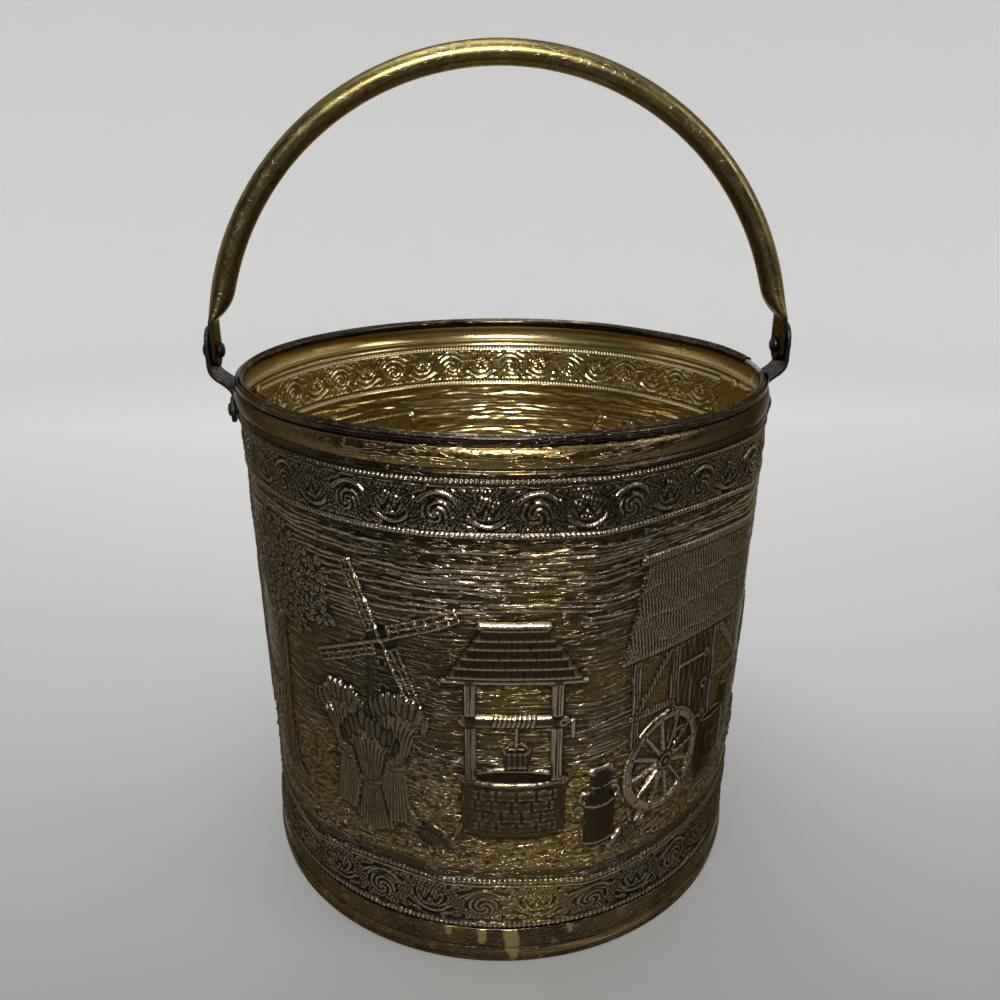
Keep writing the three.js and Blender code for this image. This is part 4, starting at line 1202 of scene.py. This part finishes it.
def wall_form():
    """The wall's radius without its embossing: taper, bent flats, mouldings and dents."""
    angles = wall_angles % 360
    rng = np.random.default_rng(2)
    share = np.clip((wall_z - straight_from) / (straight_to - straight_from), 0, 1)
    radius = wall_foot_radius + (wall_top_radius - wall_foot_radius) * share
    low = bent_flats(angles, False)
    high = bent_flats(angles, True)
    radius = radius + (low + (high - low) * share) * np.interp(wall_z, bend_heights, bend_shares)
    for ring in (torus, rim_bead):
        radius = radius + moulding(wall_z, *ring)
    dents = 0.22 * grain(rng, radius.shape, 34, 22) + 0.06 * grain(rng, radius.shape, 9, 7)
    fade = ease(21, 40, wall_z) * ease(288, 270, wall_z)
    seam = 0.3 * np.exp(-(((angles - lap_from) / 0.2) ** 2)) * ease(band_top, band_top + 1, wall_z)
    return radius + dents * fade - seam


def wall_marks(sheet, sign):
    """Worn edges with painted glints, dark forms, bare ground and dirt in the hollows, from the relief.
    """
    rng = np.random.default_rng(5)
    sharp = sign * (sheet.h - blur(sheet.h, 1.3, 1.3))
    broad = sign * (sheet.h - blur(sheet.h, 7, 6.5))
    patchy = ease(-0.9, 1.3, grain(rng, sheet.h.shape, 60, 45))
    # Worn edges and painted glints on the crests of the relief.
    wear_and_glint = ease(0.08, 0.22, sharp + 0.05 * broad) * (0.45 + 0.55 * patchy)
    low = ease(-0.02, -0.25, sharp + 0.25 * broad)
    return wear_and_glint, sheet.dark * (0.6 + 0.4 * patchy), sheet.gold, low


def outer_marks(sheet):
    """The marks outside, with painted reflection in gold on the front and the rim, and painted shade on
    the rim's sides.
    """
    wear_and_glint, dark, gold, low = wall_marks(sheet, 1)
    # Painted reflection: the side facing the camera is given more glints and gold, the sides less.
    bright = spread(wall_angles, *painted_sheen_side)
    # Painted reflection in gold on the front of the foot, the front of the wall and the front of the
    # rim.
    foot = patch(*foot_reflection)
    front = patch(*front_reflection) + 2.2 * foot
    rim_sheen = patch(*rim_reflection)
    # Painted shade on the sides of the rim's mouldings, away from the front.
    side_shade = ease(*rim_side_shade, wall_z) * (1 - spread(wall_angles, *rim_reflection[:2]))
    # Wear and painted glints, more high up and on the side facing the camera.
    wear_and_glint = wear_and_glint * (0.6 + 0.4 * ease(*wear_and_glint_grows, wall_z)) * (0.4 + 0.6 * bright)
    wear_and_glint = wear_and_glint * (1 - 0.45 * ease(*wear_and_glint_drops, wall_z)) * (1 - 0.3 * foot)
    wear_and_glint = np.maximum(wear_and_glint, 0.1 * rim_sheen)
    gold = np.maximum(gold * (0.15 + 0.45 * bright) + 0.35 * front, rim_sheen)
    dark = np.maximum(dark * (1 - 0.75 * foot), 0.75 * side_shade)
    return np.stack([wear_and_glint, dark, np.clip(gold, 0, 1), low], -1)


def panel_pieces(name, points, normals, marks, count, finish, turned=False):
    """Cuts a grid that closes on itself into panels that share their end columns."""
    total = points.shape[1]
    per_panel = total // count
    for index in range(count):
        pick = np.arange(index * per_panel, (index + 1) * per_panel + 1) % total
        grid_piece(
            f"{name}_{index + 1}",
            points[:, pick],
            WALL,
            finish,
            wrap=(False, False),
            turned=turned,
            normals=normals[:, pick],
            marks=marks[:, pick],
        )


def build_outer_wall(sheet, form, relief):
    radius = form + relief
    marks = outer_marks(sheet)
    # The top edge turns in over the sheet's thickness.
    edge = np.stack([radius[-1] - sheet_thick / 2, radius[-1] - sheet_thick])
    heights = np.concatenate([z_line, [wall_top + 0.12, wall_top]])
    points = round_axis(np.concatenate([radius, edge]), heights[:, None], wall_angles)
    marks = np.concatenate([marks, marks[-1:], marks[-1:]])
    panel_pieces("wall_outside", points, grid_normals(points), marks, outer_panels, outer_brass)


def build_inner_wall(sheet, form, relief):
    """The inside shows the embossing the other way round, a little softer, but for the lap."""
    swell = 1.2 + 0.3 * ease(*relief_deepens, wall_z)
    soft = np.minimum(blur(relief, 0.7, 0.7) * swell, relief + 0.5 * sheet_thick)
    lapped = (wall_angles % 360 > lap_from) & (wall_angles % 360 < lap_to)
    embossed = 1 - lapped
    radius = form + soft * embossed - sheet_thick * (1 + lapped)
    wear_and_glint, dark, gold, low = [mark * embossed for mark in wall_marks(sheet, -1)]
    from_back = np.abs((wall_angles + 90) % 360 - 180)
    low = low * (0.55 + 0.45 * ease(*dirt_begins, wall_z))
    # The inner sides darkened away from the back, partly tarnish and partly painted shade.
    low = np.maximum(low, 0.7 * ease(*inner_side_tarnish_and_shade, from_back))
    # Painted shade in the grooves under the roll and between the mouldings.
    for groove, half_wide, deep in inner_groove_shade:
        near = ease(half_wide, 0.4 * half_wide, np.abs(wall_z - groove))
        low = np.maximum(low, deep * near)
    marks = np.stack([wear_and_glint, dark, gold, low], -1)
    points = round_axis(radius, wall_z, wall_angles)
    normals = -grid_normals(points)
    fine_from = int(np.searchsorted(z_line, fine_above))
    coarse = np.append(np.arange(0, fine_from, 3), fine_from)
    skip = np.ix_(coarse, np.arange(0, columns, 2))
    for name, pick, count in (
        ("wall_inside", np.s_[fine_from:], inner_panels),
        ("wall_inside_low", skip, low_panels),
    ):
        panel_pieces(name, points[pick], normals[pick], marks[pick], count, lit_inner_brass, turned=True)


def build_wall():
    sheet = dressed_sheet()
    form = wall_form()
    relief = blur(sheet.h, 0.45, 0.45) * relief_depth * ease(band_top, band_top + 0.8, wall_z)
    build_outer_wall(sheet, form, relief)
    build_inner_wall(sheet, form, relief)


build_wall()

# ---------------------------------------------------------------- rim, wire, foot and base

break_from, break_to = -12.0, 2.5
roll_from, roll_to = -38, 215
roll_steps = 56
ridge_turns, ridge_depth = 3.8, 0.3
neck_low, neck_high = 286.9, 287.6
roll_foot, roll_top = 286, 289
# The rim is pressed in and down at one place: its angle and how many degrees it fades over.
pressed_rim = (40, 26)
pressed_in, pressed_down = 0.8, 0.5
wire_sides = 20
ring_steps = 828
ring_angles = full_ring(ring_steps)


def sheet_profile(middle, thickness):
    """A closed outline round a centre line, counter-clockwise, with rounded ends."""
    middle = np.array(middle, float)
    along = np.gradient(middle, axis=0)
    along /= np.linalg.norm(along, axis=1, keepdims=True)
    side = np.stack([along[:, 1], -along[:, 0]], 1) * thickness / 2
    start = middle[0] - along[0] * thickness * 0.35
    end = middle[-1] + along[-1] * thickness * 0.35
    return np.concatenate([middle + side, [end], (middle - side)[::-1], [start]])


def build_rim_roll():
    """The sheet's edge rolled over the wire, with a break in it."""
    turns = np.radians(np.linspace(roll_from, roll_to, roll_steps))
    ridges = ridge_depth * np.cos(2 * pi * np.linspace(0, ridge_turns, roll_steps))
    ridges = ridges * ease(-0.7, -0.4, turns) * ease(2.2, 1.8, turns)
    rolled = arc((roll_centre, roll_z), roll_radius - sheet_thick / 2 + ridges, turns)
    neck = [(wall_top_radius - sheet_thick / 2, level) for level in (neck_low, neck_high)]
    profile = sheet_profile([*neck, *rolled], sheet_thick)
    out, height = profile[:, 0:1], profile[:, 1:2]
    angles = np.linspace(break_to, 360 + break_from, ring_steps + 1)[None, :]
    rng = np.random.default_rng(3)
    wave = 0.12 * grain(rng, angles.shape, 40, 0.01) * ease(break_to, break_to + 6, angles)
    pressed = spread(angles, *pressed_rim)
    on_roll = ease(roll_foot, roll_top, height)
    out = out + 0.6 * wave - pressed_in * pressed
    height = height + (wave - pressed_down * pressed) * on_roll
    points = round_axis(out, height, angles)
    piece = grid_piece("rim_roll", points, WALL, roll_brass, wrap=(True, False), turned=True, strips=12)
    close_ends(piece.data)


def build_rim_wire():
    turns = np.radians(np.arange(wire_sides) * 360 / wire_sides)
    profile = arc((roll_centre, roll_z), wire_radius, turns)
    rng = np.random.default_rng(4)
    hammer = 0.05 * grain(rng, ring_angles.shape, 4, 0.01)
    points = round_axis(profile[:, 0:1] + hammer, profile[:, 1:2], ring_angles)
    grid_piece("rim_wire_ring", points, RIM_WIRE, wire_steel, wrap=(True, True), turned=True, strips=12)


build_rim_roll()
build_rim_wire()

foot_bead = (3.0, 10.0, 0.8)
band_thick = 0.8
band_inner = 143.65
ring_width = 2.8
worn_bead = (287, 24)
# Drips of old lacquer on the band: angle, height, width and how far it ran, in mm.
drips = (
    (255.6, 18.0, 3.4, 2.4),
    (262.7, 14.5, 4.2, 2.8),
    (268.6, 12.0, 5.6, 6.0),
    (269.4, 4.4, 5.0, 2.6),
    (281.5, 17.5, 3.0, 2.0),
    (96.0, 14.0, 2.0, 3.5),
    (31.0, 13.0, 1.8, 2.5),
    (164.0, 15.0, 2.4, 4.0),
)


def build_foot_band():
    """The band round the foot, its half-round bead, and the flat ring it is turned in to."""
    bead_low, bead_high, bead_bulge = foot_bead
    below = np.linspace(0.4, bead_low, 4)[:-1]
    above = np.linspace(bead_high, band_top - 0.3, 22)
    heights = np.concatenate([below, np.linspace(bead_low, bead_high, 19), above])
    bead = moulding(heights, bead_low, bead_high, bead_bulge)
    outside = np.stack([band_inner + band_thick + bead, heights], 1)
    inside = np.stack([band_inner + bead, heights], 1)[::-1]
    ring_inner = band_inner - ring_width
    under = [(ring_inner, 0.0), (band_inner - 1.5, 0.0), (band_inner, 0.0), (band_inner + 0.6, 0.1)]
    profile = np.concatenate(
        [
            under,
            outside,
            [(band_inner + band_thick - 0.25, band_top), (band_inner + 0.2, band_top)],
            inside[:-3],
            [(band_inner, band_thick), (ring_inner, band_thick)],
        ]
    )
    out, height = profile[:, 0:1], profile[:, 1:2]
    rng = np.random.default_rng(6)
    dents = 0.12 * grain(rng, ring_angles.shape, 22, 0.01)
    radius = out + dents * ease(1.5, 4, height)
    facing = np.zeros_like(out)
    facing[len(under) : len(under) + len(outside)] = 1
    run = np.zeros_like(radius)
    for angle, drip_z, wide, ran in drips:
        off = (ring_angles - angle + 180) % 360 - 180
        across = off * radians(1) * wall_foot_radius / (wide / 2)
        up = height - drip_z
        long = np.where(up < 0, ran, band_top - drip_z + wide)
        narrow = np.where(up < 0, 1, 1 + 0.5 * up / (band_top - drip_z))
        run = np.maximum(run, dome(np.hypot(across / narrow, up / long)) * facing)
    radius = radius + 0.4 * run
    patchy = ease(-0.6, 0.8, grain(rng, radius.shape, 9, 0.6))
    worn = moulding(height, bead_low, bead_high + 1, 1) * facing * patchy
    worn = worn * (0.1 + 0.9 * spread(ring_angles, *worn_bead))
    marks = np.stack([ease(0.1, 0.5, run), worn, 0 * worn, 0 * worn], -1)
    points = round_axis(radius, height, ring_angles)
    rings = {"wrap": (True, True), "turned": True, "strips": 10}
    grid_piece("foot_band_ring", points, FOOT_BAND, foot_brass, marks=marks, **rings)


def build_base_disc():
    """The bottom inside: a disc with a shallow dish and its edge turned down."""
    edge = disc_high[0]
    floor_top = disc_high[2]
    first_ring = 0.5
    corner = 1.4
    floor_steps, disc_steps = 60, 360
    floor = np.linspace(first_ring, edge - corner, floor_steps)
    bend = arc((edge - corner, floor_top - corner), corner, np.radians(np.linspace(90, 0, 7)))
    flat = np.stack([floor[:-1], np.full(floor_steps - 1, floor_top)], 1)
    top = np.concatenate([flat, bend, [(edge, disc_low[2])]])
    skirt = [(edge - band_thick, disc_low[2]), (edge - band_thick, floor_top - corner)]
    ceiling = np.full(floor_steps, floor_top - band_thick)
    under = np.concatenate([skirt, np.stack([floor[::-1], ceiling], 1)])
    profile = np.concatenate([top, under])
    out, height = profile[:, 0:1], profile[:, 1:2]
    rng = np.random.default_rng(8)
    dents = 0.25 * grain(rng, (len(profile), disc_steps), 14, 3)
    mirrored = np.concatenate([dents[: len(top)], dents[len(top) - len(under) : len(top)][::-1]])
    inside = ease(edge, edge - 20, out) * ease(0, 30, out)
    dish = -0.5 * ease(edge - 6, edge - 60, out) + 0.35 * moulding(out, 118, 124, 1)
    height = height + mirrored * inside + dish * ease(floor_top - 2, floor_top - 1, height)
    points = round_axis(out, height, full_ring(disc_steps))
    piece = grid_piece("base_pan", points, BASE_DISC, tin)
    close_ends(piece.data)


build_foot_band()
build_base_disc()

# ---------------------------------------------------------------- handle

tube_radius = 6.35
tube_wall = 0.9
tab_thick = 2.6
tab_slit = 0.4
strap_thick = 2.4
tab_play = 0.45
tab_half = (handle_high[1] - handle_low[1]) / 2
handle_swell = 2.85
tab_outer = ear_high[0] - strap_thick - tab_play
tab_top = 16.0
taper_top = 41.0
bow_outer = tab_outer + handle_swell
bow_z = handle_high[2] - bow_outer
pivot_hole = 2.85
drill_length = 12
section_steps = 40
edge_power = 0.4


def bezier(ends, share):
    """A point of the curve and the way it runs there."""
    first, second, third, fourth = np.array(ends, float)
    rest = 1 - share
    outer = rest**3 * first + share**3 * fourth
    spot = outer + 3 * rest**2 * share * second + 3 * rest * share**2 * third
    way = rest**2 * (second - first) + 2 * rest * share * (third - second)
    return spot, way + share**2 * (fourth - third)


def handle_stations():
    """The right half from the tab's end up: outer edge, facing, how flat and how wide."""
    taper_turn = np.arcsin((hinge_z + taper_top - bow_z) / bow_outer)
    taper_end = np.array([bow_outer * cos(taper_turn), bow_z + bow_outer * sin(taper_turn)])
    pull = (taper_top - tab_top) / 3
    back = taper_end + pull * np.array([sin(taper_turn), -cos(taper_turn)])
    ends = [(tab_outer, hinge_z + tab_top), (tab_outer, hinge_z + tab_top + pull), back, taper_end]
    stations = []
    for turn in np.radians(np.linspace(-90, 0, 15)[1:]):
        stations.append(((tab_outer, hinge_z + tab_half * sin(turn)), 0.0, 1.0, cos(turn)))
    for up in np.linspace(0, tab_top, 8)[1:-1]:
        stations.append(((tab_outer, hinge_z + up), 0.0, 1.0, 1.0))
    for share in np.linspace(0, 1, 26):
        spot, way = bezier(ends, share)
        stations.append((spot, atan2(-way[0], way[1]), (1 - share) ** 3, 1.0))
    for turn in np.linspace(taper_turn, pi / 2, 60)[1:]:
        outer = (bow_outer * cos(turn), bow_z + bow_outer * sin(turn))
        stations.append((outer, turn, 0.0, 1.0))
    return stations


def handle_rings(inset, flat_thick):
    """The tube's cross-sections all along the handle, inset from its skin."""
    turns = 2 * pi * (np.arange(section_steps) + 0.5) / section_steps
    rings = []
    for (across, up), facing, squash, narrow in handle_stations():
        power = 1 + (edge_power - 1) * squash
        thick = tube_radius - inset + (flat_thick / 2 - tube_radius + inset) * squash
        wide = (tube_radius + (tab_half - tube_radius) * sqrt(squash)) * narrow - inset
        wide = max(wide, 0.15)
        out = thick * np.sign(np.cos(turns)) * np.abs(np.cos(turns)) ** power
        side = wide * np.sign(np.sin(turns)) * np.abs(np.sin(turns)) ** power
        out = out - tube_radius - (tab_thick / 2 - tube_radius) * squash
        rings.append(np.stack([across + out * cos(facing), side, up + out * sin(facing)], 1))
    left = [ring * (-1, 1, 1) for ring in rings[:-1]]
    return np.array(rings + left[::-1])


def drill(mesh, across, up, radius):
    """Cuts a round hole along X through a mesh, at a place across and up."""
    shape = bmesh.new()
    sizes = {"radius1": radius * MM, "radius2": radius * MM, "depth": drill_length * MM}
    bmesh.ops.create_cone(shape, cap_ends=True, segments=32, **sizes)
    bmesh.ops.rotate(shape, verts=shape.verts, matrix=Matrix.Rotation(pi / 2, 3, "Y"))
    bmesh.ops.translate(shape, verts=shape.verts, vec=Vector((across, 0, up)) * MM)
    tool_mesh = bpy.data.meshes.new("drill")
    shape.to_mesh(tool_mesh)
    shape.free()
    tool = bpy.data.objects.new("drill", tool_mesh)
    blank = bpy.data.objects.new("blank", mesh)
    for made in (tool, blank):
        bpy.context.scene.collection.objects.link(made)
    cut = blank.modifiers.new("hole", "BOOLEAN")
    cut.operation = "DIFFERENCE"
    cut.solver = "EXACT"
    cut.object = tool
    bpy.context.view_layer.update()
    graph = bpy.context.evaluated_depsgraph_get()
    drilled = bpy.data.meshes.new_from_object(blank.evaluated_get(graph))
    for made in (tool, blank):
        bpy.data.objects.remove(made)
    return drilled


def build_handle():
    outside = handle_rings(0, tab_thick)
    rng = np.random.default_rng(9)
    dents = 0.035 * grain(rng, outside.shape[:2], 3, 7)
    way = outside - outside.mean(axis=1, keepdims=True)
    dented = outside + way / np.linalg.norm(way, axis=2, keepdims=True) * dents[:, :, None]
    points = np.concatenate([dented, handle_rings(tube_wall, tab_slit)[::-1]])
    piece = grid_piece("handle_tube", points, HANDLE, tube_brass, wrap=(True, True))
    for side in (-1, 1):
        piece.data = drill(piece.data, side * (tab_outer - tab_thick / 2), hinge_z, pivot_hole)


build_handle()

# ---------------------------------------------------------------- ears and rivets

head_lip = 0.3
pivot_head, pivot_shank = (4.5, 2.9), 2.5
rivet_head, rivet_shank = (3.6, 1.5), 2.0
rivet_inner = 143.4
rivet_outer = 150.4
# How far round the wall an ear's rivets are from its middle, and at which radius.
rivet_spread, rivet_radius = 20.8, 147.65
turned_steps = 48


def turned_piece(name, profile, height, way, node, finish):
    """A turned part of the axis at a height; profile is (radius, along its own axis)."""
    profile = np.array(profile, float)
    way = np.array(way, float)
    side = np.cross(way, (0, 0, 1.0))
    side /= np.linalg.norm(side)
    up = np.cross(side, way)
    turns = 2 * pi * np.arange(turned_steps) / turned_steps
    ring = np.cos(turns)[:, None] * side + np.sin(turns)[:, None] * up
    points = (0, 0, height) + profile[:, None, 0:1] * ring[None] + profile[:, None, 1:2] * way
    piece = grid_piece(name, points, ("bucket", node, "dark_steel"), finish)
    close_ends(piece.data)


def head(radius, height, base, sign):
    """Half of a domed head's outline, from its rim to its top."""
    line = [(radius - head_lip, base), (radius, base + sign * 0.25)]
    for turn in np.radians(np.linspace(0, 88, 10))[1:]:
        up = head_lip + (height - head_lip) * sin(turn)
        line.append((radius * cos(turn) ** 0.8, base + sign * up))
    return line


def rivet_profile(head_sizes, shank, low, high):
    """Both heads and the shank: low and high are where the heads' flat sides lie."""
    bottom = head(*head_sizes, low, -1)[::-1]
    return [*bottom, (shank, low), (shank, high), *head(*head_sizes, high, 1)]


def build_ear(side, name):
    """An ear's pivot and two rivets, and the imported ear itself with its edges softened."""
    low = pivot_low[0] + pivot_head[1]
    high = pivot_high[0] - pivot_head[1]
    profile = rivet_profile(pivot_head, pivot_shank, low, high)
    node = f"pivot_rivet_{name}"
    turned_piece(f"pivot_{name}", profile, hinge_z, (side, 0, 0), node, dark_steel)
    profile = rivet_profile(rivet_head, rivet_shank, rivet_inner, rivet_outer)
    height = (rivet_low[2] + rivet_high[2]) / 2
    for turn, end in ((1, "back"), (-1, "front")):
        angle = turn * rivet_spread / rivet_radius
        way = (side * cos(angle), sin(angle), 0)
        node = f"ear_{name}_rivet_{end}"
        turned_piece(f"rivet_{name}_{end}", profile, height, way, node, rivet_steel)
    ear = frame["nodes"][f"ear_{name}"]
    ear.data.materials.clear()
    ear.data.materials.append(dark_steel)
    fuse = ear.modifiers.new("fuse", "REMESH")
    fuse.mode = "VOXEL"
    fuse.voxel_size = 0.4 * MM
    fuse.use_smooth_shade = True
    soften = ear.modifiers.new("soften", "SMOOTH")
    soften.factor = 0.5
    soften.iterations = 5


build_ear(1, "right")
build_ear(-1, "left")

# ---------------------------------------------------------------- floor, light and camera

floor_radius, floor_bend, backdrop_top = 1500, 700, 3200
stage_sides = 96
floor_front, floor_back = -1.3, 0.9
# The floor's colour from front to back: where, as a share of the way, and the colour; near black on the
# camera side as painted shade of the unlit room, pale behind.
floor_shade_tones = (
    (0, (0.05, 0.049, 0.047)),
    (0.36, (0.07, 0.069, 0.067)),
    (0.5, (0.27, 0.268, 0.262)),
    (0.62, (0.48, 0.474, 0.466)),
    (1, (0.92, 0.915, 0.905)),
)
# Each lamp: name, place, height it is aimed at, size in metres and watts.
lamps = (
    ("key", (-0.1, -1.45, 1.15), 0.25, (0.55, 0.35), 26),
    ("top", (-0.2, -0.1, 1.9), 0.2, (1.0, 0.8), 9),
    ("side", (1.3, -0.6, 1.1), 0.2, (0.5, 0.9), 4),
)
camera_spot = (-28.99, -499.0, 399.91)
camera_turn = (90 - 20.98, -0.065, -3.2)


def build_stage():
    """A floor that curves up into a backdrop all round, pale behind and painted near black towards the
    camera as painted shade.
    """
    inner = np.stack([np.linspace(1, floor_radius, 12)[:-1], np.zeros(11)], 1)
    curve = arc((floor_radius, floor_bend), floor_bend, np.radians(np.linspace(-90, 0, 25)))
    profile = np.concatenate([inner, curve, [(floor_radius + floor_bend, backdrop_top)]])
    points = round_axis(profile[:, 0:1], profile[:, 1:2], full_ring(stage_sides)) * MM
    quads = grid_faces(len(profile), stage_sides, (False, True))[2]
    faces = [*quads.tolist(), list(range(stage_sides))]
    mesh = bpy.data.meshes.new("stage")
    mesh.from_pydata(points.reshape(-1, 3).tolist(), [], faces)
    mesh.polygons.foreach_set("use_smooth", np.ones(len(faces), bool))
    mesh.update()
    stage = bpy.data.objects.new("stage", mesh)
    bpy.context.scene.collection.objects.link(stage)

    paint = Paint("paper")
    depth = paint.add("ShaderNodeSeparateXYZ", {0: paint.spot}).outputs[1]
    inputs = {"Value": depth, "From Min": floor_front, "From Max": floor_back}
    fade = paint.add("ShaderNodeMapRange", inputs).outputs[0]
    tones = paint.add("ShaderNodeValToRGB", {0: fade})
    ramp = tones.color_ramp.elements
    # Painted shade: the stage darkens towards the camera and pales behind.
    for share, colour in floor_shade_tones:
        stop = ramp.new(share) if 0 < share < 1 else ramp[-share]
        stop.color = (*colour, 1)
    paint.feed(paint.shader.inputs["Base Color"], tones.outputs[0])
    paint.feed(paint.shader.inputs["Roughness"], 0.8)
    mesh.materials.append(paint.material)


def area_light(name, spot, aim_z, size, power):
    lamp = bpy.data.lights.new(name, "AREA")
    lamp.shape = "RECTANGLE"
    lamp.size, lamp.size_y = size
    lamp.energy = power
    holder = bpy.data.objects.new(name, lamp)
    bpy.context.scene.collection.objects.link(holder)
    holder.location = spot
    ray = Vector((0, 0, aim_z)) - Vector(spot)
    holder.rotation_euler = ray.to_track_quat("-Z", "Y").to_euler()


build_stage()
for lamp_sizes in lamps:
    area_light(*lamp_sizes)

scene = bpy.context.scene
scene.view_settings.view_transform = "Standard"
world = bpy.data.worlds.new("room")
scene.world = world
world.use_nodes = True
sky = world.node_tree.nodes["Background"]
sky.inputs["Color"].default_value = (0.75, 0.76, 0.78, 1)
sky.inputs["Strength"].default_value = 0.75

camera_data = bpy.data.cameras.new("camera")
camera = bpy.data.objects.new("camera", camera_data)
scene.collection.objects.link(camera)
camera_data.lens = 32.05
camera_data.sensor_width = 36
camera.location = np.array(camera_spot) * MM
camera.rotation_euler = [radians(turn) for turn in camera_turn]
scene.camera = camera
